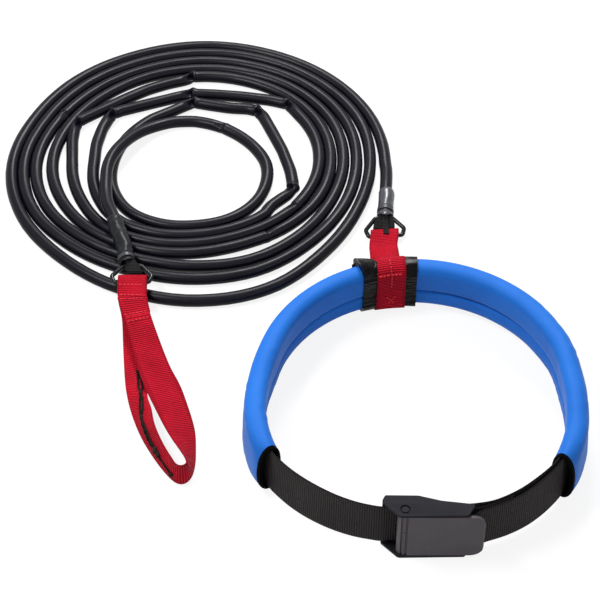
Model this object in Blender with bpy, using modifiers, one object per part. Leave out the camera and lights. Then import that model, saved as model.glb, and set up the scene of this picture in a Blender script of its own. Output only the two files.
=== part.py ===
"""Swim training tether: a coiled rubber tube between a sliding waist belt and a webbing hand loop.

Sizes and places are in millimetres on a floor plan, X to the right, Y away from the buckle, Z up.
place() turns a plan point into metres about the part's origin, the middle of its footprint.
"""
import math

import bmesh
import bpy
from mathutils import Matrix, Vector

MM = 0.001
COLLECTION = "swim_training_tether"
FOOTPRINT_CENTRE = (35.520, -83.926)
CLEARANCE = 0.3
WELD = 0.00001

# Rubber tube
TUBE_DIAMETER = 12.7
COIL_CENTRE = (-114.0, 190.6)
COIL_OUTER_RADIUS = 198.0
COIL_INNER_RADIUS = 58.0
# Routes of the free stretch beside the coil and of the one that lies over it, each up to its sleeve
BELT_LEAD = [
    (89.2, 224.0, 6.4), (90.5, 210.0, 6.4), (91.1, 196.0, 6.4), (91.3, 182.0, 6.7), (91.1, 170.0, 7.5),
]
HANDLE_LEAD = [
    (-134.5, 243.0, 19.4), (-148.0, 239.0, 19.4), (-161.0, 232.5, 19.4), (-173.0, 224.0, 19.4),
    (-184.0, 212.0, 19.4), (-192.5, 197.0, 19.4), (-198.5, 180.0, 19.4), (-201.0, 160.0, 19.4),
    (-201.3, 140.0, 19.6), (-198.6, 121.0, 20.4),
]

# Sleeve over each end of the tube, closed by a cable tie, with a tape loop held by a plug inside
SLEEVE_RADIUS = 8.25
SLEEVE_NECK_RADIUS = 7.3
SLEEVE_BORE_RADIUS = 6.1
SLEEVE_BORE_DEPTH = 19.5
SLEEVE_MOUTH_GAP = 3.7
TIE_WIDTH = 4.6
TIE_THICKNESS = 1.2
TIE_FROM_MOUTH = 5.8
TIE_GROOVE = 0.35
TAPE_WIDTH = 7.0
TAPE_THICKNESS = 1.2
TAPE_LOOP_RADIUS = 3.8
PLUG_RADIUS = 2.9
PLUG_LENGTH = 8.0
PLUG_BEVEL = 0.5
PLUG_FROM_RING = 18.0
BELT_SLEEVE_OFFSET = 1.6
BELT_SLEEVE_BACK = (90.3, 146.5, 8.6)
HANDLE_SLEEVE_OFFSET = -4.5
HANDLE_SLEEVE_BACK = (-190.3, 93.0, 21.9)
LEAD_GAP = 0.4
LEAD_SPACING = 14.0

# Wire rings, drawn with the apex wire along X through the ring's own origin
RING_WIRE_DIAMETER = 4.5
RING_DEPTH = 22.0
RING_CORNERS = [(-8.5, 0.0), (8.5, 0.0), (20.0, -14.0), (17.5, -22.0), (-17.5, -22.0), (-20.0, -14.0)]
RING_FILLETS = [4.0, 4.0, 3.5, 3.0, 3.0, 3.5]
BELT_RING_APEX = (86.2, 107.2, 9.3)
BELT_RING_YAW = 5.0
BELT_RING_DIP = 12.3
HANDLE_RING_APEX = (-167.6, 26.5, 21.9)
HANDLE_RING_YAW = 0.0
HANDLE_RING_DIP = 1.3

# Belt: the middle line of pad and webbing as radii about the belt's centre, in degrees from +X
BELT_CENTRE = (110.0, -148.0)
BELT_MIDDLE_HEIGHT = 31.0
BELT_LEAN = 0.06
BELT_RADII = [
    (-73.0, 162.8), (-59.0, 163.8), (-48.0, 162.7), (-37.0, 161.0), (-25.0, 156.3), (-12.0, 150.2),
    (-3.0, 146.6), (5.0, 145.0), (14.0, 145.0), (90.0, 145.0), (156.0, 145.0), (165.0, 145.0),
    (175.0, 147.3), (185.0, 152.0), (197.0, 158.6), (210.0, 164.0), (222.0, 163.4),
    (235.0, 161.2), (245.0, 159.7), (255.0, 157.2), (262.0, 155.0),
]
PAD_ARC = (5.0, 165.0)
PAD_RIGHT_END = -36.0
PAD_LEFT_END = 211.0
PAD_HALF_THICKNESS = 10.5
PAD_HALF_HEIGHT = 27.5
PAD_CORNER = 9.5
PAD_CREASE_DEPTH = 3.2
PAD_CREASE_HEIGHT = -8.5
PAD_BORE_HALF_THICKNESS = 2.4
PAD_BORE_HALF_HEIGHT = 25.9
BORE_CORNER = 0.5
MOUTH_LENGTH = 26.0
MOUTH_HALF_THICKNESS = 11.25
MOUTH_HALF_HEIGHT = 30.6
MOUTH_BORE_HALF_THICKNESS = 7.6
MOUTH_BORE_HALF_HEIGHT = 27.6
BINDING_LENGTH = 8.0
BINDING_THICKNESS = 1.4
BINDING_LIP = 1.2
BINDING_SEAT = 0.2
WEBBING_WIDTH = 50.8
WEBBING_THICKNESS = 1.8

# Slider around the pad
SLIDER_ANGLE = 99.0
WRAP_WIDTH = 55.0
WRAP_GAP = 0.5
WRAP_THICKNESS = 1.4
STRAP_WIDTH = 29.0
STRAP_THICKNESS = 1.5
BAND_THICKNESS = 1.2
TAB_MEET_HEIGHT = 7.4
TAB_FOLD_REACH = 4.8

# Cam buckle
BUCKLE_HEIGHT = 62.0
CHEEK_THICKNESS = 3.0
CHEEK_OUTLINE = [
    (74.8, -292.0), (104.0, -292.4), (124.0, -298.0), (154.0, -302.0),
    (146.8, -313.9), (88.6, -314.8), (86.4, -314.0), (71.6, -298.6),
]
CHEEK_FILLETS = [1.6, 8.0, 8.0, 1.5, 2.5, 1.0, 1.0, 2.5]
BACK_PLATE_FRONT = -297.6
BACK_PLATE_BACK = -294.4
BACK_PLATE_END = 121.0
FIXED_BAR = (149.0, -305.3)
FIXED_BAR_RADIUS = 2.5
PIN = (92.0, -307.3)
PIN_RADIUS = 3.2
PIN_RECESS = 0.4
PIN_WELL_RADIUS = 4.6
PIN_WELL_DEPTH = 1.2
LEVER_GAP = 0.4
BARREL_RADIUS = 6.6
BARREL_GROOVE = (240.0, 256.0)
BARREL_GROOVE_DEPTH = 1.3
BARREL_SPLIT_HEIGHT = 36.8
BARREL_SPLIT = 0.6
CAM_TEETH = [
    (-4.4, 3.1), (-3.4, 5.2), (-2.4, 6.3), (-1.3, 5.8), (-0.2, 6.8), (1.1, 6.0), (2.4, 6.8), (3.8, 5.8),
]
LEVER_FACE = -314.5
LEVER_THICKNESS = 2.8
LEVER_TIP = 162.8
LEVER_RIB_DEPTH = 1.3
LEVER_RIB_THICKNESS = 1.6
LEVER_CORNER_TOP = 11.0
LEVER_CORNER_BOTTOM = 12.0

# Hand loop: stations along the webbing, each with its two edges, from the fold to the end turn and back
HAND_STRAP_OFFSET = 1.1
HAND_FOLD_REACH = 4.6
HAND_LOOP_STEPS = 2
HAND_LOOP_TUCK = 12.0
HAND_LOOP_FRONT_LEG = [
    ((-180.4, -12.0, 21.0), (-151.4, -12.0, 21.0)),
    ((-176.8, -33.0, 17.6), (-149.2, -25.0, 15.4)),
    ((-166.8, -66.0, 11.5), (-140.5, -53.0, 5.6)),
    ((-155.6, -100.0, 8.2), (-128.8, -88.0, 2.4)),
    ((-145.0, -120.0, 10.2), (-118.2, -109.0, 1.6)),
    ((-137.2, -136.0, 8.2), (-110.4, -127.0, 1.2)),
    ((-124.6, -178.6, 12.0), (-99.3, -167.0, 1.1)),
    ((-111.0, -209.5, 23.6), (-97.2, -197.0, 1.1)),
    ((-105.0, -223.5, 28.8), (-98.0, -215.0, 1.1)),
    ((-103.5, -230.0, 29.7), (-101.3, -226.8, 1.1)),
    ((-107.3, -233.2, 29.8), (-107.3, -232.4, 1.1)),
]
HAND_LOOP_BACK_LEG = [
    ((-113.2, -231.8, 29.8), (-115.4, -230.2, 1.1)),
    ((-119.6, -223.4, 29.0), (-126.6, -217.0, 1.1)),
    ((-127.6, -203.6, 27.0), (-139.6, -196.0, 1.1)),
    ((-134.6, -180.0, 24.6), (-150.6, -174.0, 1.1)),
    ((-139.8, -156.0, 18.6), (-159.8, -149.0, 1.1)),
    ((-145.0, -133.0, 8.4), (-165.4, -127.0, 1.1)),
    ((-146.0, -112.0, 2.2), (-168.8, -106.0, 1.1)),
    ((-147.5, -74.0, 2.4), (-172.6, -68.0, 1.4)),
    ((-149.8, -38.0, 6.6), (-175.6, -33.0, 6.0)),
    ((-150.6, -20.5, 14.6), (-179.2, -19.0, 14.8)),
    ((-151.4, -11.5, 17.9), (-180.4, -11.5, 17.9)),
]


def place(x, y, z):
    """A point of the floor plan, in millimetres, as a point about the part's origin, in metres."""
    return Vector((x - FOOTPRINT_CENTRE[0], y - FOOTPRINT_CENTRE[1], z)) * MM


def clear_scene():
    for obj in list(bpy.data.objects):
        bpy.data.objects.remove(obj, do_unlink=True)
    for collection in list(bpy.data.collections):
        bpy.data.collections.remove(collection)


def new_collection(name):
    collection = bpy.data.collections.new(name)
    bpy.context.scene.collection.children.link(collection)
    return collection


def material(name, colour, roughness, metallic=0.0):
    found = bpy.data.materials.get(name)
    if found:
        return found
    made = bpy.data.materials.new(name)
    made.use_nodes = True
    shader = made.node_tree.nodes["Principled BSDF"]
    shader.inputs["Base Color"].default_value = (*colour, 1.0)
    shader.inputs["Roughness"].default_value = roughness
    shader.inputs["Metallic"].default_value = metallic
    return made


def add_object(name, data, finish, collection):
    obj = bpy.data.objects.new(name, data)
    collection.objects.link(obj)
    if finish:
        data.materials.append(finish)
    return obj


def shade(obj, angle=35.0):
    obj.data.shade_smooth()
    obj.data.set_sharp_from_angle(angle=math.radians(angle))


def as_mesh(obj):
    """A mesh object in place of a curve, its caps welded, or of a mesh with modifiers."""
    bpy.context.view_layer.update()
    evaluated = obj.evaluated_get(bpy.context.evaluated_depsgraph_get())
    mesh = bpy.data.meshes.new_from_object(evaluated)
    bm = bmesh.new()
    bm.from_mesh(mesh)
    bmesh.ops.remove_doubles(bm, verts=bm.verts, dist=WELD)
    bmesh.ops.recalc_face_normals(bm, faces=bm.faces)
    bm.to_mesh(mesh)
    bm.free()
    made = bpy.data.objects.new(obj.name + "_mesh", mesh)
    for collection in obj.users_collection:
        collection.objects.link(made)
    made.matrix_world = obj.matrix_world.copy()
    name = obj.name
    bpy.data.objects.remove(obj, do_unlink=True)
    made.name = name
    return made


def boolean(target, tool, operation, cutters):
    """Cuts or joins with a tool that is kept, unseen, among the cutters."""
    for collection in tool.users_collection:
        collection.objects.unlink(tool)
    cutters.objects.link(tool)
    tool.hide_render = True
    tool.display_type = "WIRE"
    modifier = target.modifiers.new(operation.lower(), "BOOLEAN")
    modifier.object = tool
    modifier.operation = operation
    modifier.solver = "EXACT"


def turned(name, profile, base, direction, finish, collection, steps=24):
    """A turned piece: (radius, height) pairs down its outer side, then up the inner one, about an axis."""
    bm = bmesh.new()
    points = [bm.verts.new((radius * MM, 0.0, height * MM)) for radius, height in profile]
    closed = profile[0][0] > 0.0
    for first, second in zip(points, points[1:] + points[:1] if closed else points[1:]):
        bm.edges.new((first, second))
    mesh = bpy.data.meshes.new(name)
    bm.to_mesh(mesh)
    bm.free()
    obj = add_object(name, mesh, finish, collection)
    obj.location = base
    obj.rotation_euler = Vector(direction).to_track_quat("Z", "Y").to_euler()
    screw = obj.modifiers.new("turn", "SCREW")
    screw.axis = "Z"
    screw.steps = steps
    screw.render_steps = steps
    screw.use_merge_vertices = True
    screw.merge_threshold = WELD
    screw.use_smooth_shade = True
    return obj


def wire(name, points, diameter, finish, collection, cyclic=False, resolution=2):
    """A round wire or tube along a list of points in metres."""
    curve = bpy.data.curves.new(name, "CURVE")
    curve.dimensions = "3D"
    curve.bevel_depth = diameter * MM / 2.0
    curve.bevel_resolution = resolution
    curve.render_resolution_u = 0
    curve.use_fill_caps = not cyclic
    spline = curve.splines.new("POLY")
    spline.points.add(len(points) - 1)
    for slot, point in zip(spline.points, points):
        slot.co = (*point, 1.0)
    spline.use_cyclic_u = cyclic
    return add_object(name, curve, finish, collection)


def prism(name, outlines, low, high, finish, collection):
    """Flat outlines on the floor plan, the later ones holes, made solid from one height to another."""
    curve = bpy.data.curves.new(name, "CURVE")
    curve.dimensions = "2D"
    curve.fill_mode = "BOTH"
    curve.extrude = (high - low) * MM / 2.0
    curve.render_resolution_u = 0
    for outline in outlines:
        spline = curve.splines.new("POLY")
        spline.points.add(len(outline) - 1)
        for slot, (x, y) in zip(spline.points, outline):
            slot.co = (*place(x, y, 0.0).xy, 0.0, 1.0)
        spline.use_cyclic_u = True
    obj = add_object(name, curve, finish, collection)
    obj.location = (0.0, 0.0, (low + high) * MM / 2.0)
    return as_mesh(obj)


def box(name, low, high, collection):
    """A plain block between two corners of the plan, for a cutter or a joined piece."""
    bpy.ops.mesh.primitive_cube_add(size=1.0)
    obj = bpy.context.active_object
    obj.name = name
    for owner in list(obj.users_collection):
        owner.objects.unlink(obj)
    collection.objects.link(obj)
    first, second = place(*low), place(*high)
    obj.data.transform(Matrix.Diagonal((*(second - first), 1.0)))
    obj.location = (first + second) / 2.0
    return obj


def rod(name, centre, radius, low, high, finish, collection, sides=24):
    """An upright round bar on the floor plan."""
    bpy.ops.mesh.primitive_cylinder_add(vertices=sides, radius=radius * MM, depth=(high - low) * MM)
    obj = bpy.context.active_object
    obj.name = name
    for owner in list(obj.users_collection):
        owner.objects.unlink(obj)
    collection.objects.link(obj)
    obj.location = place(centre[0], centre[1], (low + high) / 2.0)
    if finish:
        obj.data.materials.append(finish)
    return obj


def ribbon(name, stations, thickness, finish, collection, cyclic=False):
    """Webbing: a strip between the two edge points of each station, in metres, then given its thickness."""
    bm = bmesh.new()
    rows = [(bm.verts.new(a), bm.verts.new(b)) for a, b in stations]
    pairs = list(zip(rows, rows[1:]))
    if cyclic:
        pairs.append((rows[-1], rows[0]))
    for (a, b), (c, d) in pairs:
        bm.faces.new((a, b, d, c))
    mesh = bpy.data.meshes.new(name)
    bm.to_mesh(mesh)
    bm.free()
    obj = add_object(name, mesh, finish, collection)
    solidify = obj.modifiers.new("thickness", "SOLIDIFY")
    solidify.thickness = thickness * MM
    solidify.offset = 0.0
    solidify.use_even_offset = True
    return obj


def loft(name, loops, finish, collection, closed):
    """Skins a row of loops of equal count; the last loop joins the first where closed is set."""
    bm = bmesh.new()
    rows = [[bm.verts.new(point) for point in loop] for loop in loops]
    pairs = list(zip(rows, rows[1:]))
    if closed:
        pairs.append((rows[-1], rows[0]))
    for first, second in pairs:
        for i in range(len(first)):
            j = (i + 1) % len(first)
            bm.faces.new((first[i], first[j], second[j], second[i]))
    bmesh.ops.recalc_face_normals(bm, faces=bm.faces)
    mesh = bpy.data.meshes.new(name)
    bm.to_mesh(mesh)
    bm.free()
    obj = add_object(name, mesh, finish, collection)
    shade(obj)
    return obj


def smooth_between(values, position):
    """Catmull-Rom value of a list at a fractional index."""
    last = len(values) - 1
    index = min(int(position), last - 1)
    t = position - index
    p0 = values[max(index - 1, 0)]
    p1 = values[index]
    p2 = values[index + 1]
    p3 = values[min(index + 2, last)]
    return 0.5 * (
        2 * p1 + (p2 - p0) * t
        + (2 * p0 - 5 * p1 + 4 * p2 - p3) * t * t
        + (3 * p1 - p0 - 3 * p2 + p3) * t * t * t
    )


def smooth_route(points, spacing):
    """Points about evenly spaced along the smooth curve through hand-chosen ones."""
    vectors = [Vector(p) for p in points]
    route = []
    for index in range(len(vectors) - 1):
        steps = max(1, round((vectors[index + 1] - vectors[index]).length / spacing))
        route += [smooth_between(vectors, index + step / steps) for step in range(steps)]
    return route + [vectors[-1]]


def filleted(corners, radii, steps=3):
    """A closed outline with each corner rounded to its own radius."""
    outline = []
    count = len(corners)
    for i in range(count):
        corner = Vector(corners[i])
        before = (Vector(corners[i - 1]) - corner).normalized()
        after = (Vector(corners[(i + 1) % count]) - corner).normalized()
        half = before.angle(after) / 2.0
        centre = corner + (before + after).normalized() * (radii[i] / math.sin(half))
        reach = radii[i] / math.tan(half)
        start = corner + before * reach - centre
        turn = start.angle_signed(corner + after * reach - centre)
        for step in range(steps + 1):
            spoke = start.copy()
            spoke.rotate(Matrix.Rotation(-turn * step / steps, 2))
            outline.append(tuple(centre + spoke))
    return outline


def belt_radius(angle):
    """Radius of the belt's middle line, a true arc along the stretch that runs through the slider."""
    if PAD_ARC[0] <= angle <= PAD_ARC[1]:
        return 145.0
    for index in range(len(BELT_RADII) - 1):
        low, high = BELT_RADII[index][0], BELT_RADII[index + 1][0]
        if low <= angle <= high:
            return smooth_between([r for _, r in BELT_RADII], index + (angle - low) / (high - low))
    raise ValueError("angle off the belt")


def belt_point(angle, outward, rise, lean=1.0):
    """A point off the belt's middle line: outward from the belt's centre, and up from its middle height."""
    radius = belt_radius(angle) + outward - rise * BELT_LEAN * lean
    turn = math.radians(angle)
    return place(
        BELT_CENTRE[0] + radius * math.cos(turn),
        BELT_CENTRE[1] + radius * math.sin(turn),
        BELT_MIDDLE_HEIGHT + rise,
    )


def pad_loop(half_thickness, half_height, corner, crease=0.0):
    """Section of the pad as (outward, rise) pairs: four rounded corners, and a crease in its inner face."""
    corners = [
        (half_thickness, half_height, 0.0),
        (-half_thickness, half_height, 90.0),
        (-half_thickness, -half_height, 180.0),
        (half_thickness, -half_height, 270.0),
    ]
    loop = []
    for number, (x, z, start) in enumerate(corners):
        centre_x = math.copysign(half_thickness - corner, x)
        centre_z = math.copysign(half_height - corner, z)
        for step in range(4):
            turn = math.radians(start + 30.0 * step)
            loop.append((centre_x + corner * math.cos(turn), centre_z + corner * math.sin(turn)))
        if number == 1:
            for rise, depth in ((5.0, 0.0), (0.0, crease), (-5.0, 0.0)):
                loop.append((-half_thickness + depth, PAD_CREASE_HEIGHT + rise))
        if number == 3:
            loop.append((half_thickness, 0.0))
    return loop


def blend(low, high, share):
    return low + (high - low) * share


def mouth_share(distance):
    """How far the pad's section has opened towards its mouth, at a distance from the pad's end."""
    share = min(max(1.0 - distance / MOUTH_LENGTH, 0.0), 1.0)
    return share * share * (3.0 - 2.0 * share)


def pad_outer(distance, offset=0.0):
    share = mouth_share(distance)
    return pad_loop(
        blend(PAD_HALF_THICKNESS, MOUTH_HALF_THICKNESS, share) + offset,
        blend(PAD_HALF_HEIGHT, MOUTH_HALF_HEIGHT, share) + offset,
        PAD_CORNER + offset,
        PAD_CREASE_DEPTH * (1.0 - share),
    )


def pad_bore(distance, offset=0.0):
    share = mouth_share(distance)
    half = blend(PAD_BORE_HALF_THICKNESS, MOUTH_BORE_HALF_THICKNESS, share) + offset
    return pad_loop(half, blend(PAD_BORE_HALF_HEIGHT, MOUTH_BORE_HALF_HEIGHT, share) + offset, half * BORE_CORNER)


def at_angle(section, angle):
    return [belt_point(angle, outward, rise) for outward, rise in section]


def end_angle(right, distance):
    """The angle at a distance in from one end of the pad."""
    end = PAD_RIGHT_END if right else PAD_LEFT_END
    turn = math.degrees(distance / belt_radius(end))
    return end + turn if right else end - turn


def make_pad(finish, parts):
    """Foam pad: a soft tube bent round the back, with a neck at each end for its binding."""
    near = [0.0, BINDING_LENGTH]
    deeper = [14.0, 20.0, MOUTH_LENGTH]
    outer = []
    inner = []
    for right in (True, False):
        stations = []
        for distance in near:
            stations.append((distance, -BINDING_THICKNESS - BINDING_SEAT, pad_bore(distance)))
        stations.append((BINDING_LENGTH, 0.0, None))
        stations += [(distance, 0.0, pad_bore(distance)) for distance in deeper]
        side_outer = [at_angle(pad_outer(d, offset), end_angle(right, d)) for d, offset, _ in stations]
        side_inner = [at_angle(bore, end_angle(right, d)) for d, _, bore in stations if bore]
        if right:
            outer += side_outer
            inner += side_inner
            first = end_angle(True, MOUTH_LENGTH)
            last = end_angle(False, MOUTH_LENGTH)
            steps = round((last - first) / 6.0)
            for step in range(1, steps):
                angle = blend(first, last, step / steps)
                outer.append(at_angle(pad_outer(MOUTH_LENGTH), angle))
                inner.append(at_angle(pad_bore(MOUTH_LENGTH), angle))
        else:
            outer += side_outer[::-1]
            inner += side_inner[::-1]
    return loft("pad_cover", outer + inner[::-1], finish, parts, closed=True)


def make_binding(name, right, finish, parts):
    """Edge tape folded over the pad's end, outside and in."""
    skin = BINDING_THICKNESS
    outer_lip = BINDING_LENGTH - CLEARANCE
    inner_lip = BINDING_LENGTH
    profile = [
        (pad_outer(outer_lip, 0.2), outer_lip),
        (pad_outer(0.0, 0.2), -skin),
        (pad_bore(0.0, -BINDING_LIP), -skin),
        (pad_bore(inner_lip, -BINDING_LIP), inner_lip),
        (pad_bore(inner_lip, -CLEARANCE), inner_lip),
        (pad_bore(0.0, -CLEARANCE), -CLEARANCE),
        (pad_outer(0.0, CLEARANCE - skin), -CLEARANCE),
        (pad_outer(outer_lip, CLEARANCE - skin), outer_lip),
    ]
    loops = [at_angle(section, end_angle(right, distance)) for section, distance in profile]
    return loft(name, loops, finish, parts, closed=True)


def webbing_line():
    """The belt webbing's middle line on the plan, from its sewn end, round the belt, to its loose tail."""
    line = []

    def along(angles, inward):
        for angle in angles:
            radius = belt_radius(angle) - inward
            turn = math.radians(angle)
            lean = min(max((min(angle + 70.0, 252.0 - angle)) / 20.0, 0.0), 1.0)
            line.append((
                BELT_CENTRE[0] + radius * math.cos(turn), BELT_CENTRE[1] + radius * math.sin(turn), lean,
            ))

    along((-61.0, -65.5, -70.0), 2.3)
    wrap = FIXED_BAR_RADIUS + CLEARANCE + WEBBING_THICKNESS / 2.0 + 0.1
    line.append((159.0, -300.4, 0.0))
    line.append((153.5, -301.2, 0.0))
    for step in range(10):
        turn = math.radians(90.0 + 20.0 * step)
        line.append((FIXED_BAR[0] + wrap * math.cos(turn), FIXED_BAR[1] + wrap * math.sin(turn), 0.0))
    line.append((153.0, -308.4, 0.0))
    line.append((156.8, -306.2, 0.0))
    line.append((161.0, -303.5, 0.0))
    along((-69.0, -66.0, -62.0, -57.0, -52.0, -47.0, -42.0), 0.0)
    first = PAD_RIGHT_END
    last = PAD_LEFT_END
    steps = round((last - first) / 6.0)
    along([blend(first, last, step / steps) for step in range(steps + 1)], 0.0)
    along((217.0, 223.0, 229.0, 235.0, 241.0, 247.0, 252.0, 256.0), 0.0)
    for x, y in ((78.0, -299.4), (86.0, -299.1), (110.0, -299.0), (122.0, -298.9),
                 (134.0, -298.3), (146.0, -297.3), (156.0, -296.3)):
        line.append((x, y, 0.0))
    for angle, inward in ((-67.5, 5.7), (-62.0, 5.5), (-56.0, 5.3), (-50.0, 4.8), (-44.0, 4.1),
                          (-39.0, 3.5), (-34.0, 3.0)):
        along((angle,), inward)
    return line


def make_webbing(finish, parts):
    """Belt webbing, standing on edge: the strip carries the pad's lean where it runs through the pad."""
    half = WEBBING_WIDTH / 2.0
    stations = []
    centre = Vector(BELT_CENTRE)
    for x, y, lean in webbing_line():
        outward = (Vector((x, y)) - centre).normalized() * half * BELT_LEAN * lean
        low = place(x + outward.x, y + outward.y, BELT_MIDDLE_HEIGHT - half)
        high = place(x - outward.x, y - outward.y, BELT_MIDDLE_HEIGHT + half)
        stations.append((low, high))
    return ribbon("belt_webbing", stations, WEBBING_THICKNESS, finish, parts)


def make_band(name, width, inner_gap, thickness, finish, parts):
    """A band round the pad: its section turned about the belt's centre, so that the pad can slide in it."""
    half_turn = math.degrees(width / 2.0 / 145.0)
    steps = max(2, round(half_turn * 2.0 / 6.0))
    loops = []
    for gap in (inner_gap, inner_gap + thickness):
        section = pad_loop(PAD_HALF_THICKNESS + gap, PAD_HALF_HEIGHT + gap, PAD_CORNER + gap)
        turns = [SLIDER_ANGLE - half_turn + 2.0 * half_turn * step / steps for step in range(steps + 1)]
        rows = [at_angle(section, angle) for angle in turns]
        loops += rows if not loops else rows[::-1]
    return loft(name, loops, finish, parts, closed=True)


def ring_frame(apex, yaw, dip):
    """Turns the ring's own drawing onto the plan: dipped about its apex wire, then turned about Z."""
    return (
        Matrix.Translation(place(*apex))
        @ Matrix.Rotation(math.radians(yaw), 4, "Z")
        @ Matrix.Rotation(math.radians(dip), 4, "X")
    )


def make_ring(name, apex, yaw, dip, finish, parts):
    outline = filleted(RING_CORNERS, RING_FILLETS)
    points = [Vector((x, y, 0.0)) * MM for x, y in outline]
    obj = wire(name, points, RING_WIRE_DIAMETER, finish, parts, cyclic=True)
    obj.matrix_world = ring_frame(apex, yaw, dip)
    return obj


def bar_point(apex, yaw, dip, along=0.0):
    """A point on the middle of a ring's bar, in metres."""
    return ring_frame(apex, yaw, dip) @ (Vector((along, -RING_DEPTH, 0.0)) * MM)


def strap_round_bar(bar, across, back, radius, beyond, half_width, steps=6):
    """Stations of a strap's fold round a bar: in over the top, round the far side, and out below."""
    up = Vector((0.0, 0.0, 1.0))
    stations = []
    for step in range(steps + 1):
        turn = math.radians(90.0 - 180.0 * step / steps)
        centre = bar - back * (beyond * MM) * max(0.0, math.cos(turn)) ** 0.5
        centre = centre - back * (radius * MM * math.cos(turn)) + up * (radius * MM * math.sin(turn))
        stations.append((centre - across * half_width * MM, centre + across * half_width * MM))
    return stations


def make_slider_tab(finish, parts):
    """Red tab: sewn to the band above and below, and folded round the bar of the belt's ring."""
    yaw = math.radians(BELT_RING_YAW)
    across_ring = Vector((math.cos(yaw), math.sin(yaw), 0.0))
    turn = math.radians(SLIDER_ANGLE)
    out = Vector((math.cos(turn), math.sin(turn), 0.0))
    across_band = Vector((math.sin(turn), -math.cos(turn), 0.0))
    bar = bar_point(BELT_RING_APEX, BELT_RING_YAW, BELT_RING_DIP)
    band_face = PAD_HALF_THICKNESS + WRAP_GAP + WRAP_THICKNESS + CLEARANCE + BAND_THICKNESS + CLEARANCE
    half = STRAP_THICKNESS / 2.0
    layer = half + CLEARANCE / 2.0
    wrap = RING_WIRE_DIAMETER / 2.0 + 0.5 + half
    root = belt_point(SLIDER_ANGLE, 0.0, 0.0, 0.0)

    def at_band(distance, height):
        rise = height - BELT_MIDDLE_HEIGHT
        centre = root + out * (distance - rise * BELT_LEAN) * MM
        centre.z = height * MM
        return centre

    def station(centre, share):
        across = across_band.lerp(across_ring, share).normalized() * (STRAP_WIDTH / 2.0 * MM)
        return centre - across, centre + across

    upper = [at_band(band_face + half, 45.0), at_band(band_face + half, 36.0),
             at_band(band_face + half + 1.2, 30.5), at_band(band_face + half + 5.0, 26.5)]
    lower = [at_band(band_face + half, 8.0), at_band(band_face + half, 16.0),
             at_band(band_face + half + 1.2, 21.0), at_band(band_face + half + 5.0, 23.4)]
    stations = [station(point, 0.0) for point in upper]
    back = (upper[-1] - bar)
    back.z = 0.0
    back.normalize()
    joint_high = upper[-1]
    joint_low = lower[-1]
    meet = bar + back * 16.0 * MM
    meet_high = Vector((meet.x, meet.y, (TAB_MEET_HEIGHT + layer) * MM))
    meet_low = Vector((meet.x, meet.y, (TAB_MEET_HEIGHT - layer) * MM))
    for share in (0.2, 0.4, 0.6, 0.8, 1.0):
        centre = joint_high.lerp(meet_high, share)
        spread = (joint_high.z - joint_low.z) / 2.0 - layer * MM
        centre.z -= spread * min(share * 3.0, 1.0) * (1.0 - share)
        stations.append(station(centre, share))
    stations += strap_round_bar(bar, across_ring, back, wrap, TAB_FOLD_REACH, STRAP_WIDTH / 2.0)
    for share in (1.0, 0.8, 0.6, 0.4, 0.2):
        centre = joint_low.lerp(meet_low, share)
        spread = (joint_high.z - joint_low.z) / 2.0 - layer * MM
        centre.z += spread * min(share * 3.0, 1.0) * (1.0 - share)
        stations.append(station(centre, share))
    stations += [station(point, 0.0) for point in lower[::-1]]
    return ribbon("slider_tab", stations, STRAP_THICKNESS, finish, parts)


def make_hand_loop(finish, parts):
    """Hand loop: one webbing tucked round the ring's bar, run out, turned on edge and brought back below."""
    yaw = math.radians(HANDLE_RING_YAW)
    across = Vector((math.cos(yaw), math.sin(yaw), 0.0))
    back = Vector((math.sin(yaw), -math.cos(yaw), 0.0))
    bar = bar_point(HANDLE_RING_APEX, HANDLE_RING_YAW, HANDLE_RING_DIP, HAND_STRAP_OFFSET)
    wrap = RING_WIRE_DIAMETER / 2.0 + 0.5 + STRAP_THICKNESS / 2.0
    fold = strap_round_bar(bar, across, back, wrap, HAND_FOLD_REACH, STRAP_WIDTH / 2.0)
    tuck = [(a + back * HAND_LOOP_TUCK * MM, b + back * HAND_LOOP_TUCK * MM) for a, b in fold[-1:]]
    legs = [(place(*a), place(*b)) for a, b in HAND_LOOP_FRONT_LEG + HAND_LOOP_BACK_LEG]
    rows = tuck + fold[::-1] + legs
    left = [a for a, _ in rows]
    right = [b for _, b in rows]
    count = (len(rows) - 1) * HAND_LOOP_STEPS
    smooth = [
        (smooth_between(left, step / HAND_LOOP_STEPS), smooth_between(right, step / HAND_LOOP_STEPS))
        for step in range(count + 1)
    ]
    return ribbon("hand_loop", smooth, STRAP_THICKNESS, finish, parts)


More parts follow.
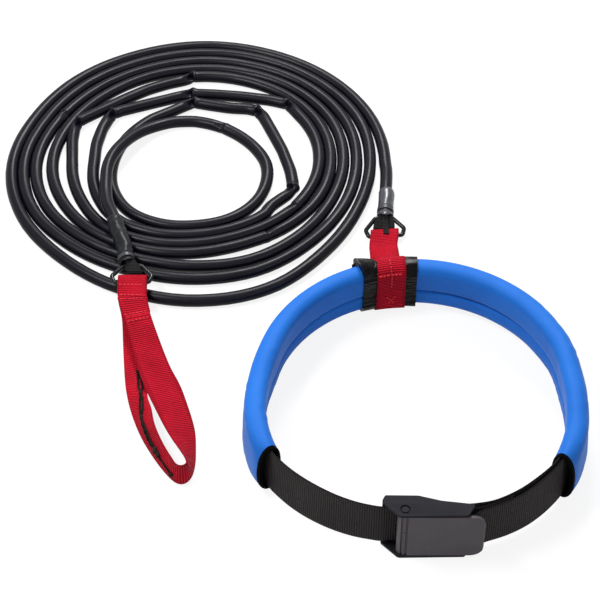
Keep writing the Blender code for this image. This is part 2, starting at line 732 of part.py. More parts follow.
def make_tube_end(side, apex, yaw, offset, back, finishes, parts):
    """One end of the tube: sleeve, cable tie, tape loop round the ring's wire, and the plug that holds it."""
    rubber, nylon, tape = finishes
    start = place(*apex) + Vector((offset, 0.0, 0.0)) * MM
    axis = (place(*back) - start).normalized()
    mouth = start + axis * SLEEVE_MOUTH_GAP * MM
    length = (place(*back) - mouth).length / MM
    half = TIE_WIDTH / 2.0
    waist = (TIE_FROM_MOUTH - half - 0.5, TIE_FROM_MOUTH + half + 0.5)
    turned("end_sleeve_" + side, [
        (0.0, length), (TUBE_DIAMETER / 2.0 + 0.4, length), (SLEEVE_RADIUS - 0.3, length - 2.5),
        (SLEEVE_RADIUS, length - 9.0), (SLEEVE_RADIUS, waist[1] + 1.9), (SLEEVE_NECK_RADIUS, waist[1]),
        (SLEEVE_NECK_RADIUS, waist[0]), (SLEEVE_RADIUS - 0.2, waist[0] - 1.4), (SLEEVE_RADIUS, 0.6),
        (SLEEVE_RADIUS - 0.5, 0.0), (SLEEVE_BORE_RADIUS, 0.0),
        (SLEEVE_BORE_RADIUS, SLEEVE_BORE_DEPTH), (0.0, SLEEVE_BORE_DEPTH),
    ], mouth, axis, rubber, parts)
    inner = SLEEVE_NECK_RADIUS + CLEARANCE
    outer = inner + TIE_THICKNESS
    turned("cable_tie_" + side, [
        (inner, TIE_FROM_MOUTH + half), (outer, TIE_FROM_MOUTH + half), (outer, TIE_FROM_MOUTH + 0.6),
        (outer - TIE_GROOVE, TIE_FROM_MOUTH), (outer, TIE_FROM_MOUTH - 0.6),
        (outer, TIE_FROM_MOUTH - half), (inner, TIE_FROM_MOUTH - half),
    ], mouth, axis, nylon, parts)
    across = axis.cross(Vector((0.0, 0.0, 1.0))).normalized()
    along_wire = Vector((math.cos(math.radians(yaw)), math.sin(math.radians(yaw)), 0.0))
    far = start + axis * PLUG_FROM_RING * MM
    stations = []
    for centre, first, width in ((start, 90.0, along_wire), (far, 270.0, across)):
        for step in range(7):
            turn = math.radians(first + 30.0 * step)
            spoke = axis * math.cos(turn) + across.cross(axis) * math.sin(turn)
            point = centre + spoke * TAPE_LOOP_RADIUS * MM
            stations.append((point - width * TAPE_WIDTH / 2.0 * MM, point + width * TAPE_WIDTH / 2.0 * MM))
    ribbon("anchor_tape_" + side, stations, TAPE_THICKNESS, tape, parts, cyclic=True)
    end = PLUG_LENGTH / 2.0
    turned("anchor_plug_" + side, [
        (0.0, end), (PLUG_RADIUS - PLUG_BEVEL, end), (PLUG_RADIUS, end - PLUG_BEVEL),
        (PLUG_RADIUS, PLUG_BEVEL - end), (PLUG_RADIUS - PLUG_BEVEL, -end), (0.0, -end),
    ], far, across, nylon, parts, steps=16)


def lead_points(route, apex, offset, back):
    """A lead's smooth middle line, its last stretch in line with the sleeve that it runs into."""
    start = place(*apex) + Vector((offset, 0.0, 0.0)) * MM
    axis = (place(*back) - start).normalized()
    ends = [place(*back) + axis * distance * MM for distance in (9.0, LEAD_GAP)]
    return smooth_route([place(*p) for p in route] + ends, LEAD_SPACING * MM)


def make_tube(finish, parts):
    half = TUBE_DIAMETER / 2.0
    turned("tube_coil", [
        (COIL_OUTER_RADIUS - half * 0.6, half), (COIL_OUTER_RADIUS, half * 0.4),
        (COIL_OUTER_RADIUS, -half * 0.4), (COIL_OUTER_RADIUS - half * 0.6, -half),
        (COIL_INNER_RADIUS + half * 0.6, -half), (COIL_INNER_RADIUS, -half * 0.4),
        (COIL_INNER_RADIUS, half * 0.4), (COIL_INNER_RADIUS + half * 0.6, half),
    ], place(*COIL_CENTRE, half), (0.0, 0.0, 1.0), finish, parts, steps=48)
    belt = lead_points(BELT_LEAD, BELT_RING_APEX, BELT_SLEEVE_OFFSET, BELT_SLEEVE_BACK)
    handle = lead_points(HANDLE_LEAD, HANDLE_RING_APEX, HANDLE_SLEEVE_OFFSET, HANDLE_SLEEVE_BACK)
    wire("tube_lead_belt", belt, TUBE_DIAMETER, finish, parts, resolution=3)
    wire("tube_lead_handle", handle, TUBE_DIAMETER, finish, parts, resolution=3)


def round_outline(centre, radius, sides=24):
    """A circle on the plan as an outline."""
    return [
        (centre[0] + radius * math.cos(math.tau * step / sides),
         centre[1] + radius * math.sin(math.tau * step / sides))
        for step in range(sides)
    ]


def make_buckle_frame(finish, parts, cutters):
    """Buckle frame: two cheeks, a back plate behind the cam, and a bar for the webbing's sewn end."""
    outline = filleted(CHEEK_OUTLINE, CHEEK_FILLETS, steps=2)
    hole = round_outline(PIN, PIN_RADIUS + CLEARANCE)
    frame = prism("buckle_frame", [outline, hole], 0.0, BUCKLE_HEIGHT, finish, parts)
    low = CHEEK_THICKNESS
    high = BUCKLE_HEIGHT - CHEEK_THICKNESS
    boolean(frame, box("cut_front", (60.0, -330.0, low), (170.0, BACK_PLATE_FRONT, high), parts),
            "DIFFERENCE", cutters)
    boolean(frame, box("cut_back", (60.0, BACK_PLATE_BACK, low), (170.0, -280.0, high), parts),
            "DIFFERENCE", cutters)
    boolean(frame, box("cut_tail", (BACK_PLATE_END, -310.0, low), (170.0, -280.0, high), parts),
            "DIFFERENCE", cutters)
    boolean(frame, rod("fixed_bar", FIXED_BAR, FIXED_BAR_RADIUS, low - 1.5, high + 1.5, None, parts, 20),
            "UNION", cutters)
    for name, base, top in (
        ("pin_well_low", -1.0, PIN_WELL_DEPTH),
        ("pin_well_high", BUCKLE_HEIGHT - PIN_WELL_DEPTH, BUCKLE_HEIGHT + 1.0),
    ):
        boolean(frame, rod(name, PIN, PIN_WELL_RADIUS, base, top, None, parts), "DIFFERENCE", cutters)
    shade(frame)
    return frame


def lever_outline():
    """Lever seen along its pin: a toothed cam and barrel round the pin, and the flat handle plate."""
    x0, y0 = PIN
    inner_face = LEVER_FACE + LEVER_THICKNESS
    outline = [(x0 + x, y0 + y) for x, y in CAM_TEETH]
    outline += [
        (x0 + 5.0, y0 + 5.9), (x0 + 6.6, y0 + 2.0), (x0 + 8.6, y0 - 2.4), (x0 + 11.0, inner_face),
        (LEVER_TIP - 1.0, inner_face), (LEVER_TIP, inner_face - 0.9), (LEVER_TIP, LEVER_FACE + 0.8),
        (LEVER_TIP - 1.0, LEVER_FACE), (x0 + 2.8, LEVER_FACE), (x0 + 2.4, LEVER_FACE + 1.3),
        (x0 + 1.5, LEVER_FACE + 1.3),
    ]
    floor = BARREL_RADIUS - BARREL_GROOVE_DEPTH
    groove_low, groove_high = BARREL_GROOVE
    arc = [(278.0, BARREL_RADIUS), (270.0, BARREL_RADIUS), (263.0, BARREL_RADIUS),
           (groove_high, BARREL_RADIUS), (groove_high - 1.5, floor), (groove_low + 1.5, floor),
           (groove_low, BARREL_RADIUS)]
    arc += [(turn, BARREL_RADIUS) for turn in (228.0, 216.0, 204.0, 192.0, 180.0)]
    for turn, radius in arc:
        spoke = math.radians(turn)
        outline.append((x0 + radius * math.cos(spoke), y0 + radius * math.sin(spoke)))
    return outline


def make_buckle_lever(finish, parts, cutters):
    """Cam lever, with rounded tip corners, stiffening ribs inside, and a split across its barrel."""
    low = CHEEK_THICKNESS + LEVER_GAP
    high = BUCKLE_HEIGHT - CHEEK_THICKNESS - LEVER_GAP
    hole = round_outline(PIN, PIN_RADIUS + CLEARANCE)
    lever = prism("buckle_lever", [lever_outline(), hole], low, high, finish, parts)
    inner_face = LEVER_FACE + LEVER_THICKNESS
    half = LEVER_RIB_THICKNESS / 2.0
    for number, height in enumerate((low + 7.0, BUCKLE_HEIGHT / 2.0, high - 7.0)):
        rib = box("lever_rib_%d" % number, (PIN[0] + 12.0, inner_face - 0.5, height - half),
                  (FIXED_BAR[0] - 9.0, inner_face + LEVER_RIB_DEPTH, height + half), parts)
        boolean(lever, rib, "UNION", cutters)
    split = box("lever_split", (PIN[0] - 1.9, LEVER_FACE - 0.5, BARREL_SPLIT_HEIGHT - BARREL_SPLIT / 2.0),
                (PIN[0] + 1.9, LEVER_FACE + 1.6, BARREL_SPLIT_HEIGHT + BARREL_SPLIT / 2.0), parts)
    boolean(lever, split, "DIFFERENCE", cutters)
    for name, radius, edge, sign in (
        ("lever_corner_top", LEVER_CORNER_TOP, high, -1.0),
        ("lever_corner_bottom", LEVER_CORNER_BOTTOM, low, 1.0),
    ):
        arc = [(radius - radius * math.sin(math.radians(a)), radius - radius * math.cos(math.radians(a)))
               for a in range(0, 91, 15)]
        corner = [(-1.0, -1.0), (radius, -1.0)] + [(x, z) for x, z in arc] + [(-1.0, radius)]
        cutter = corner_cutter(name, corner, edge, sign, parts)
        boolean(lever, cutter, "DIFFERENCE", cutters)
    shade(lever)
    return lever


def corner_cutter(name, corner, edge, sign, collection):
    """Cuts one rounded corner off the lever's tip: an outline in X and Z, run through along Y."""
    curve = bpy.data.curves.new(name, "CURVE")
    curve.dimensions = "2D"
    curve.fill_mode = "BOTH"
    curve.extrude = 6.0 * MM
    curve.render_resolution_u = 0
    spline = curve.splines.new("POLY")
    spline.points.add(len(corner) - 1)
    for slot, (x, z) in zip(spline.points, corner):
        slot.co = (-x * MM, z * sign * MM, 0.0, 1.0)
    spline.use_cyclic_u = True
    obj = add_object(name, curve, None, collection)
    obj.rotation_euler = (math.radians(90.0), 0.0, 0.0)
    obj.location = place(LEVER_TIP, LEVER_FACE, edge)
    return as_mesh(obj)


def set_pivots(parts):
    """An empty on the axis of each joint, carrying the pieces that turn about it and what hangs on them."""
    belt_bar = bar_point(BELT_RING_APEX, BELT_RING_YAW, BELT_RING_DIP)
    handle_bar = bar_point(HANDLE_RING_APEX, HANDLE_RING_YAW, HANDLE_RING_DIP)
    pivots = (
        ("belt_ring_pivot", None, place(*BELT_RING_APEX), ("ring_belt",)),
        ("slider_pivot", "belt_ring_pivot", belt_bar, ("slider_wrap", "slider_band", "slider_tab")),
        ("belt_pivot", "slider_pivot", place(*BELT_CENTRE, BELT_MIDDLE_HEIGHT), (
            "pad_cover", "pad_binding_left", "pad_binding_right", "belt_webbing", "buckle_frame",
            "buckle_pin",
        )),
        ("lever_pivot", "belt_pivot", place(*PIN, BELT_MIDDLE_HEIGHT), ("buckle_lever",)),
        ("handle_ring_pivot", None, place(*HANDLE_RING_APEX), ("ring_handle",)),
        ("hand_loop_pivot", "handle_ring_pivot", handle_bar, ("hand_loop",)),
    )
    for name, owner, location, children in pivots:
        pivot = bpy.data.objects.new(name, None)
        parts.objects.link(pivot)
        pivot.empty_display_size = 20.0 * MM
        pivot.location = location
        bpy.context.view_layer.update()
        if owner:
            hang(pivot, bpy.data.objects[owner])
        for child in children:
            hang(bpy.data.objects[child], pivot)


def hang(child, parent):
    """Parents an object without moving it."""
    bpy.context.view_layer.update()
    child.parent = parent
    child.matrix_parent_inverse = parent.matrix_world.inverted()


def main():
    clear_scene()
    parts = new_collection(COLLECTION)
    cutters = new_collection("cutters")

    rubber = material("rubber_tube", (0.020, 0.020, 0.023), 0.35)
    sleeve_rubber = material("sleeve_rubber", (0.045, 0.045, 0.050), 0.40)
    nylon = material("tie_nylon", (0.015, 0.015, 0.016), 0.45)
    black_webbing = material("black_webbing", (0.018, 0.017, 0.018), 0.85)
    red_webbing = material("red_webbing", (0.50, 0.012, 0.030), 0.80)
    blue_foam = material("blue_foam", (0.015, 0.13, 0.72), 0.75)
    black_wrap = material("black_wrap", (0.020, 0.020, 0.022), 0.90)
    ring_wire = material("ring_wire", (0.030, 0.030, 0.032), 0.30, 0.8)
    buckle_plastic = material("buckle_plastic", (0.055, 0.052, 0.055), 0.45)

    make_tube(rubber, parts)
    finishes = (sleeve_rubber, nylon, black_webbing)
    make_tube_end("belt", BELT_RING_APEX, BELT_RING_YAW, BELT_SLEEVE_OFFSET, BELT_SLEEVE_BACK,
                  finishes, parts)
    make_tube_end("handle", HANDLE_RING_APEX, HANDLE_RING_YAW, HANDLE_SLEEVE_OFFSET, HANDLE_SLEEVE_BACK,
                  finishes, parts)
    make_ring("ring_belt", BELT_RING_APEX, BELT_RING_YAW, BELT_RING_DIP, ring_wire, parts)
    make_ring("ring_handle", HANDLE_RING_APEX, HANDLE_RING_YAW, HANDLE_RING_DIP, ring_wire, parts)
    make_hand_loop(red_webbing, parts)

    wrap_outer = WRAP_GAP + WRAP_THICKNESS + CLEARANCE
    make_band("slider_wrap", WRAP_WIDTH, WRAP_GAP, WRAP_THICKNESS, black_wrap, parts)
    make_band("slider_band", STRAP_WIDTH, wrap_outer, BAND_THICKNESS, red_webbing, parts)
    make_slider_tab(red_webbing, parts)

    make_pad(blue_foam, parts)
    make_binding("pad_binding_right", True, black_wrap, parts)
    make_binding("pad_binding_left", False, black_wrap, parts)
    make_webbing(black_webbing, parts)

    make_buckle_frame(buckle_plastic, parts, cutters)
    make_buckle_lever(buckle_plastic, parts, cutters)
    rod("buckle_pin", PIN, PIN_RADIUS, PIN_RECESS, BUCKLE_HEIGHT - PIN_RECESS, buckle_plastic, parts)
    set_pivots(parts)


main()
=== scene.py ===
"""The look of the swim training tether: a coiled rubber tube between a padded belt and a hand loop."""
import math

import bmesh
import bpy
from mathutils import Matrix, Vector, noise


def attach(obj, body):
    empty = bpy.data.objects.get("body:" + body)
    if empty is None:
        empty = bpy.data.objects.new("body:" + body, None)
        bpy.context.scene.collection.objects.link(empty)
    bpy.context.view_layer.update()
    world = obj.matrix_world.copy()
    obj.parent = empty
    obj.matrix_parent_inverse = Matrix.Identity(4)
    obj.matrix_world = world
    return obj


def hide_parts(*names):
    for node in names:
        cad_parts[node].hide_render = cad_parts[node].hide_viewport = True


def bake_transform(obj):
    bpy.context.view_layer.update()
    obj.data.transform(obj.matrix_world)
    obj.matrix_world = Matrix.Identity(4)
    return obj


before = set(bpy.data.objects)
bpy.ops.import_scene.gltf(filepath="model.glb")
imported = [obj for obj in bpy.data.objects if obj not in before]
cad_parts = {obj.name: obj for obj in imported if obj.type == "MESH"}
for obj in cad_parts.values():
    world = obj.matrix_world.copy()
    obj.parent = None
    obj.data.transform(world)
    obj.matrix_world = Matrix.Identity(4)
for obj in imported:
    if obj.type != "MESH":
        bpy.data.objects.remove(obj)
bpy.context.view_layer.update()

# Sizes are in millimetres, and places are on a floor plan with +X to the right and +Y away.
# Meshes, lamps and material scales are in metres.
MM = 0.001
FOOTPRINT_CENTRE = (35.520, -83.926)
UP = Vector((0.0, 0.0, 1.0))


# Small helpers

def place(x, y, z):
    """A point of the floor plan, in the frame of the CAD, in metres."""
    return Vector((x - FOOTPRINT_CENTRE[0], y - FOOTPRINT_CENTRE[1], z)) * MM


def clamped(value):
    return min(max(value, 0.0), 1.0)


def blended(low, high, share):
    return low + (high - low) * share


def eased(share):
    """A share of 0 to 1 that starts and ends slowly."""
    return share * share * (3.0 - 2.0 * share)


def bell(value, width):
    return math.exp(-(value / width) ** 2)


def noise_at(x, y, z):
    return noise.noise(Vector((x, y, z)))


def level(angle):
    """The level direction at an angle in degrees, counterclockwise from +X."""
    return Vector((math.cos(math.radians(angle)), math.sin(math.radians(angle)), 0.0))


def circle(sides):
    return [math.tau * k / sides for k in range(sides)]


def sideways(way, up=UP):
    """The directions to the side of a way and upward from it."""
    side = way.cross(up).normalized()
    return side, side.cross(way).normalized()


def lengths_along(points):
    """How far along a row of points each of them lies."""
    lengths = [0.0]
    for a, b in zip(points, points[1:]):
        lengths.append(lengths[-1] + (b - a).length)
    return lengths


def smooth_between(values, position):
    """Catmull-Rom value of a list at a fractional index."""
    last = len(values) - 1
    index = min(int(position), last - 1)
    t = position - index
    p0 = values[max(index - 1, 0)]
    p1 = values[index]
    p2 = values[index + 1]
    p3 = values[min(index + 2, last)]
    return 0.5 * (
        2 * p1 + (p2 - p0) * t
        + (2 * p0 - 5 * p1 + 4 * p2 - p3) * t * t
        + (3 * p1 - p0 - 3 * p2 + p3) * t * t * t
    )


def smooth_route(points, spacing):
    """Points about evenly spaced along the smooth curve through given ones."""
    vectors = [Vector(p) for p in points]
    route = []
    for index in range(len(vectors) - 1):
        steps = max(1, round((vectors[index + 1] - vectors[index]).length / spacing))
        route += [smooth_between(vectors, index + step / steps) for step in range(steps)]
    return route + [vectors[-1]]


def tangents(path, cyclic=False):
    out = []
    count = len(path)
    for i in range(count):
        before = path[i - 1] if i > 0 or cyclic else path[i]
        after = path[(i + 1) % count] if i < count - 1 or cyclic else path[i]
        out.append((after - before).normalized())
    return out


RUN_SPACING = 2.0


def corner_arc(before, corner, after, radius, steps=None):
    """Points of the arc that rounds a corner, in a set number of steps or about evenly spaced."""
    back, on = before - corner, after - corner
    half = back.angle(on) / 2.0
    reach = min(radius / math.tan(half), back.length * 0.49, on.length * 0.49)
    radius = reach * math.tan(half)
    middle = corner + (back.normalized() + on.normalized()).normalized() * radius / math.sin(half)
    first = corner + back.normalized() * reach - middle
    turn = first.angle_signed(corner + on.normalized() * reach - middle)
    steps = steps or max(2, round(abs(turn) * radius / RUN_SPACING))
    arc = []
    for step in range(steps + 1):
        spoke = first.copy()
        spoke.rotate(Matrix.Rotation(-turn * step / steps, 2))
        arc.append(middle + spoke)
    return arc


# Camera, lamps and floor

ELEVATION = math.radians(47.0)
CAMERA_DISTANCE = 2000.0
LENS = 120.0
SENSOR_WIDTH = 36.0
# Name, place, aim, size and watts
LAMPS = [
    ("key", (0.05, 1.40, 1.42), (0.0, 0.0, 0.0), (0.44, 0.52), 32.0),
    ("left", (-0.85, 0.0, 1.5), (0.0, 0.0, 0.0), (0.42, 0.36), 20.0),
    ("fill", (1.2, -0.9, 1.5), (0.1, -0.1, 0.0), (1.2, 0.4), 4.0),
]
WORLD_LIGHT = 0.36
FLOOR_REACH = 6.0
FLOOR_DROP = 0.0002
FLOOR_PAINT = 0.80
# Seen by the camera, the floor is a glow with a faint paint on it that takes the shadows
FLOOR_SHADE = 0.16
FLOOR_GLOW = 0.86


def put(name, data, where, aim):
    """An object in the scene at a place, its -Z axis turned to a point."""
    obj = bpy.data.objects.new(name, data)
    bpy.context.scene.collection.objects.link(obj)
    obj.location = where
    obj.rotation_euler = (Vector(aim) - Vector(where)).to_track_quat("-Z", "Y").to_euler()
    return obj


def make_camera():
    target = place(0.0, 0.0, 0.0)
    back = Vector((0.0, -math.cos(ELEVATION), math.sin(ELEVATION)))
    camera = bpy.data.cameras.new("camera")
    camera.lens = LENS
    camera.sensor_width = SENSOR_WIDTH
    camera.clip_start = 0.05
    camera.clip_end = 50.0
    bpy.context.scene.camera = put("camera", camera, target + back * CAMERA_DISTANCE * MM, target)


def make_lamp(name, where, aim, size, energy):
    lamp = bpy.data.lights.new(name, "AREA")
    lamp.shape = "RECTANGLE"
    lamp.size, lamp.size_y = size
    lamp.energy = energy
    put(name, lamp, where, aim)


def shader(tree, kind, **values):
    node = tree.nodes.new("ShaderNode" + kind)
    for socket, value in values.items():
        node.inputs[socket].default_value = value
    return node


def grey(shade):
    return (shade, shade, shade, 1.0)


def show(tree, plain, seen, output):
    """One shader where a ray from the camera, a reflection or a clear thing meets it, one elsewhere."""
    path = shader(tree, "LightPath")
    looked_at = path.outputs["Is Camera Ray"]
    for ray in ("Is Glossy Ray", "Is Transmission Ray"):
        either = shader(tree, "Math")
        either.operation = "MAXIMUM"
        tree.links.new(looked_at, either.inputs[0])
        tree.links.new(path.outputs[ray], either.inputs[1])
        looked_at = either.outputs[0]
    mix = shader(tree, "MixShader")
    for socket, value in zip(mix.inputs, (looked_at, plain.outputs[0], seen.outputs[0])):
        tree.links.new(value, socket)
    tree.links.new(mix.outputs[0], shader(tree, output).inputs["Surface"])


def make_world():
    world = bpy.data.worlds.new("world")
    bpy.context.scene.world = world
    world.use_nodes = True
    tree = world.node_tree
    tree.nodes.clear()
    light = shader(tree, "Background", Color=grey(1.0), Strength=WORLD_LIGHT)
    seen = shader(tree, "Background", Color=grey(1.0), Strength=1.0)
    show(tree, light, seen, "OutputWorld")


def make_floor():
    reach = FLOOR_REACH
    corners = [(-reach, -reach, 0), (reach, -reach, 0), (reach, reach, 0), (-reach, reach, 0)]
    mesh = bpy.data.meshes.new("floor")
    mesh.from_pydata(corners, [], [(0, 1, 2, 3)])
    floor = bpy.data.objects.new("floor", mesh)
    bpy.context.scene.collection.objects.link(floor)
    floor.location = (0.0, 0.0, -FLOOR_DROP)
    paint = bpy.data.materials.new("floor")
    paint.use_nodes = True
    tree = paint.node_tree
    tree.nodes.clear()
    plain = shader(tree, "BsdfDiffuse", Color=grey(FLOOR_PAINT))
    shade = shader(tree, "BsdfDiffuse", Color=grey(FLOOR_SHADE))
    glow = shader(tree, "Emission", Strength=FLOOR_GLOW)
    seen = shader(tree, "AddShader")
    tree.links.new(shade.outputs[0], seen.inputs[0])
    tree.links.new(glow.outputs[0], seen.inputs[1])
    show(tree, plain, seen, "OutputMaterial")
    mesh.materials.append(paint)


def make_stage():
    bpy.context.scene.view_settings.view_transform = "Standard"
    make_world()
    make_floor()
    for lamp in LAMPS:
        make_lamp(*lamp)


# Materials

class Shader:
    """A material's node tree, with short calls for the nodes that the looks here are made of."""

    def __init__(self, name, specular):
        self.material = bpy.data.materials.new(name)
        self.material.use_nodes = True
        self.nodes = self.material.node_tree.nodes
        self.links = self.material.node_tree.links
        self.inputs = self.nodes["Principled BSDF"].inputs
        self.inputs["Specular IOR Level"].default_value = specular
        self.texture = self.nodes.new("ShaderNodeTexCoord")
        self.normal = None

    def set(self, socket, value):
        if hasattr(value, "links"):
            self.links.new(value, socket)
        else:
            socket.default_value = value

    def math(self, operation, a, b=0.0):
        node = self.nodes.new("ShaderNodeMath")
        node.operation = operation
        self.set(node.inputs[0], a)
        self.set(node.inputs[1], b)
        return node.outputs[0]

    def weighted(self, *parts):
        """The sum of some values, each times its share."""
        total = None
        for value, share in parts:
            part = self.math("MULTIPLY", value, share)
            total = self.math("ADD", total, part) if total else part
        return total

    def noise(self, scale, detail=3.0, where="Object", stretch=(1.0, 1.0, 1.0)):
        mapping = self.nodes.new("ShaderNodeMapping")
        mapping.inputs["Scale"].default_value = stretch
        self.links.new(self.texture.outputs[where], mapping.inputs["Vector"])
        node = self.nodes.new("ShaderNodeTexNoise")
        node.inputs["Scale"].default_value = scale
        node.inputs["Detail"].default_value = detail
        self.links.new(mapping.outputs[0], node.inputs["Vector"])
        return node.outputs["Fac"]

    def ramp(self, value, low, dark, high, light):
        """One colour up to a low value, another from a high one on, and a blend between them."""
        node = self.nodes.new("ShaderNodeValToRGB")
        for element, position, colour in zip(node.color_ramp.elements, (low, high), (dark, light)):
            element.position = position
            element.color = (*colour, 1.0)
        self.links.new(value, node.inputs["Fac"])
        return node.outputs["Color"]

    def mix(self, share, a, b):
        node = self.nodes.new("ShaderNodeMix")
        node.data_type = "RGBA"
        self.set(node.inputs[0], share)
        self.set(node.inputs[6], a)
        self.set(node.inputs[7], (*b, 1.0))
        return node.outputs[2]

    def spread(self, value, low, high):
        node = self.nodes.new("ShaderNodeMapRange")
        self.links.new(value, node.inputs["Value"])
        node.inputs["To Min"].default_value = low
        node.inputs["To Max"].default_value = high
        return node.outputs[0]

    def wave(self, value, length):
        """0 to 1 and back, once every length."""
        sine = self.math("SINE", self.math("MULTIPLY", value, math.tau / length))
        return self.math("ADD", self.math("MULTIPLY", sine, 0.5), 0.5)

    def uv(self):
        node = self.nodes.new("ShaderNodeSeparateXYZ")
        self.links.new(self.texture.outputs["UV"], node.inputs[0])
        return node.outputs[0], node.outputs[1]

    def bump(self, height, distance, strength=1.0):
        node = self.nodes.new("ShaderNodeBump")
        node.inputs["Distance"].default_value = distance
        node.inputs["Strength"].default_value = strength
        self.links.new(height, node.inputs["Height"])
        if self.normal:
            self.links.new(self.normal, node.inputs["Normal"])
        self.normal = node.outputs[0]
        self.links.new(self.normal, self.inputs["Normal"])

    def colour(self, value):
        self.set(self.inputs["Base Color"], value)

    def roughness(self, value):
        self.set(self.inputs["Roughness"], value)

    def sheen(self, weight, roughness):
        self.inputs["Sheen Weight"].default_value = weight
        self.inputs["Sheen Roughness"].default_value = roughness


def rubber(name, dark, light, rough, specular):
    """Extruded rubber: faint streaks along it, cloudy bloom, a soft gloss. Where its colours are set light,
    as on the belt's sleeve, the lighter bloom is a painted reflection.
    """
    s = Shader(name, specular)
    bloom = s.noise(38.0)
    streak = s.noise(14.0, where="UV", stretch=(1.0, 0.5, 1.0))
    shade = s.weighted((bloom, 0.6), (streak, 0.4))
    s.colour(s.ramp(shade, 0.30, dark, 0.70, light))
    s.roughness(s.spread(shade, *rough))
    s.bump(bloom, 0.0006, 0.25)
    s.bump(streak, 0.0002, 0.25)
    return s.material


YARN_PITCH = 0.0021
ZIGZAG = 0.0011
SELVAGE = 0.0016


def webbing(name, dark, light, rib, width, rough=0.75, specular=0.12):
    """Woven strap: ribs across it, yarns along it, a closer edge and a worn, fuzzy face.

    The UV map holds metres, across from the middle and along from the start.
    """
    s = Shader(name, specular)
    across, along = s.uv()
    zigzag = s.math("PINGPONG", across, ZIGZAG)
    ribs = s.wave(s.math("ADD", along, s.math("MULTIPLY", zigzag, 0.35)), rib)
    yarns = s.wave(across, YARN_PITCH)
    weave = s.math("MULTIPLY", ribs, s.math("ADD", s.math("MULTIPLY", yarns, 0.45), 0.55))
    worn = s.noise(45.0, 4.0)
    fuzz = s.noise(1400.0, 2.0)
    tone = s.weighted((weave, 0.55), (worn, 0.30), (fuzz, 0.15))
    inside = s.math("LESS_THAN", s.math("ABSOLUTE", across), width / 2.0 - SELVAGE)
    edge = s.math("SUBTRACT", 1.0, inside)
    s.colour(s.mix(s.math("MULTIPLY", edge, 0.35), s.ramp(tone, 0.15, dark, 0.85, light), dark))
    s.roughness(s.spread(worn, rough - 0.08, rough + 0.08))
    s.bump(weave, 0.0009)
    s.bump(fuzz, 0.00012, 0.6)
    return s.material


def foam_skin(name, dark, light):
    """Soft foam with a smooth knitted skin: mottled blue, fine loops, slight dimples."""
    s = Shader(name, 0.2)
    mottle = s.noise(22.0, 4.0)
    grain = s.noise(1100.0)
    dimple = s.noise(120.0)
    tone = s.weighted((mottle, 0.55), (grain, 0.45))
    s.colour(s.ramp(tone, 0.25, dark, 0.75, light))
    s.roughness(s.spread(grain, 0.55, 0.72))
    s.sheen(0.08, 0.35)
    s.bump(dimple, 0.0006, 0.35)
    s.bump(grain, 0.0002, 0.7)
    return s.material


def fuzzy_fabric(name, dark, light):
    """Brushed fabric: short matted fibres in every direction, dusty on its folds."""
    s = Shader(name, 0.08)
    mat = s.noise(260.0, 5.0)
    fibre = s.noise(2200.0)
    dust = s.noise(60.0, 4.0)
    tone = s.weighted((mat, 0.4), (fibre, 0.35), (dust, 0.25))
    s.colour(s.ramp(tone, 0.35, dark, 0.65, light))
    s.roughness(s.spread(fibre, 0.82, 0.98))
    s.sheen(0.12, 0.5)
    s.bump(mat, 0.0005, 0.6)
    s.bump(fibre, 0.0002, 0.8)
    return s.material


def satin(name, dark, light):
    """Satin ribbon: a close smooth weave with a soft gloss, small folds across it, dull worn spots."""
    s = Shader(name, 0.07)
    folds = s.noise(75.0, 2.0, stretch=(0.45, 0.45, 2.6))
    worn = s.noise(130.0, 4.0)
    weave = s.noise(1800.0, 2.0)
    tone = s.weighted((worn, 0.7), (weave, 0.3))
    s.colour(s.ramp(tone, 0.35, dark, 0.65, light))
    s.roughness(s.spread(worn, 0.18, 0.36))
    s.bump(folds, 0.005, 0.8)
    s.bump(weave, 0.0001, 0.5)
    return s.material


def moulded(name, dark, light, rough, specular=0.3, grain=1500.0):
    """Moulded plastic: a fine spark-eroded grain, paler where edges have rubbed."""
    s = Shader(name, specular)
    cloud = s.noise(60.0, 4.0)
    fine = s.noise(grain, 2.0)
    worn = s.nodes.new("ShaderNodeNewGeometry").outputs["Pointiness"]
    rubbed = s.ramp(worn, 0.50, (0.0, 0.0, 0.0), 0.62, (1.0, 1.0, 1.0))
    pale = tuple(min(1.0, channel * 1.9 + 0.01) for channel in light)
    s.colour(s.mix(s.math("MULTIPLY", rubbed, 0.5), s.ramp(cloud, 0.3, dark, 0.7, light), pale))
    s.roughness(s.spread(fine, *rough))
    s.bump(fine, 0.00006, 0.3)
    return s.material


# Meshes

def mesh_object(name, vertices, faces, materials, uvs=None, angle=40.0, slots=None):
    mesh = bpy.data.meshes.new(name)
    mesh.from_pydata([tuple(v) for v in vertices], [], faces)
    for material in materials if isinstance(materials, list) else [materials]:
        mesh.materials.append(material)
    if slots:
        mesh.polygons.foreach_set("material_index", slots)
    if uvs:
        layer = mesh.uv_layers.new(name="UVMap")
        for loop in mesh.loops:
            layer.data[loop.index].uv = uvs[loop.vertex_index]
    bm = bmesh.new()
    bm.from_mesh(mesh)
    bmesh.ops.recalc_face_normals(bm, faces=bm.faces)
    bm.to_mesh(mesh)
    bm.free()
    mesh.shade_smooth()
    mesh.set_sharp_from_angle(angle=math.radians(angle))
    obj = bpy.data.objects.new(name, mesh)
    bpy.context.scene.collection.objects.link(obj)
    return obj


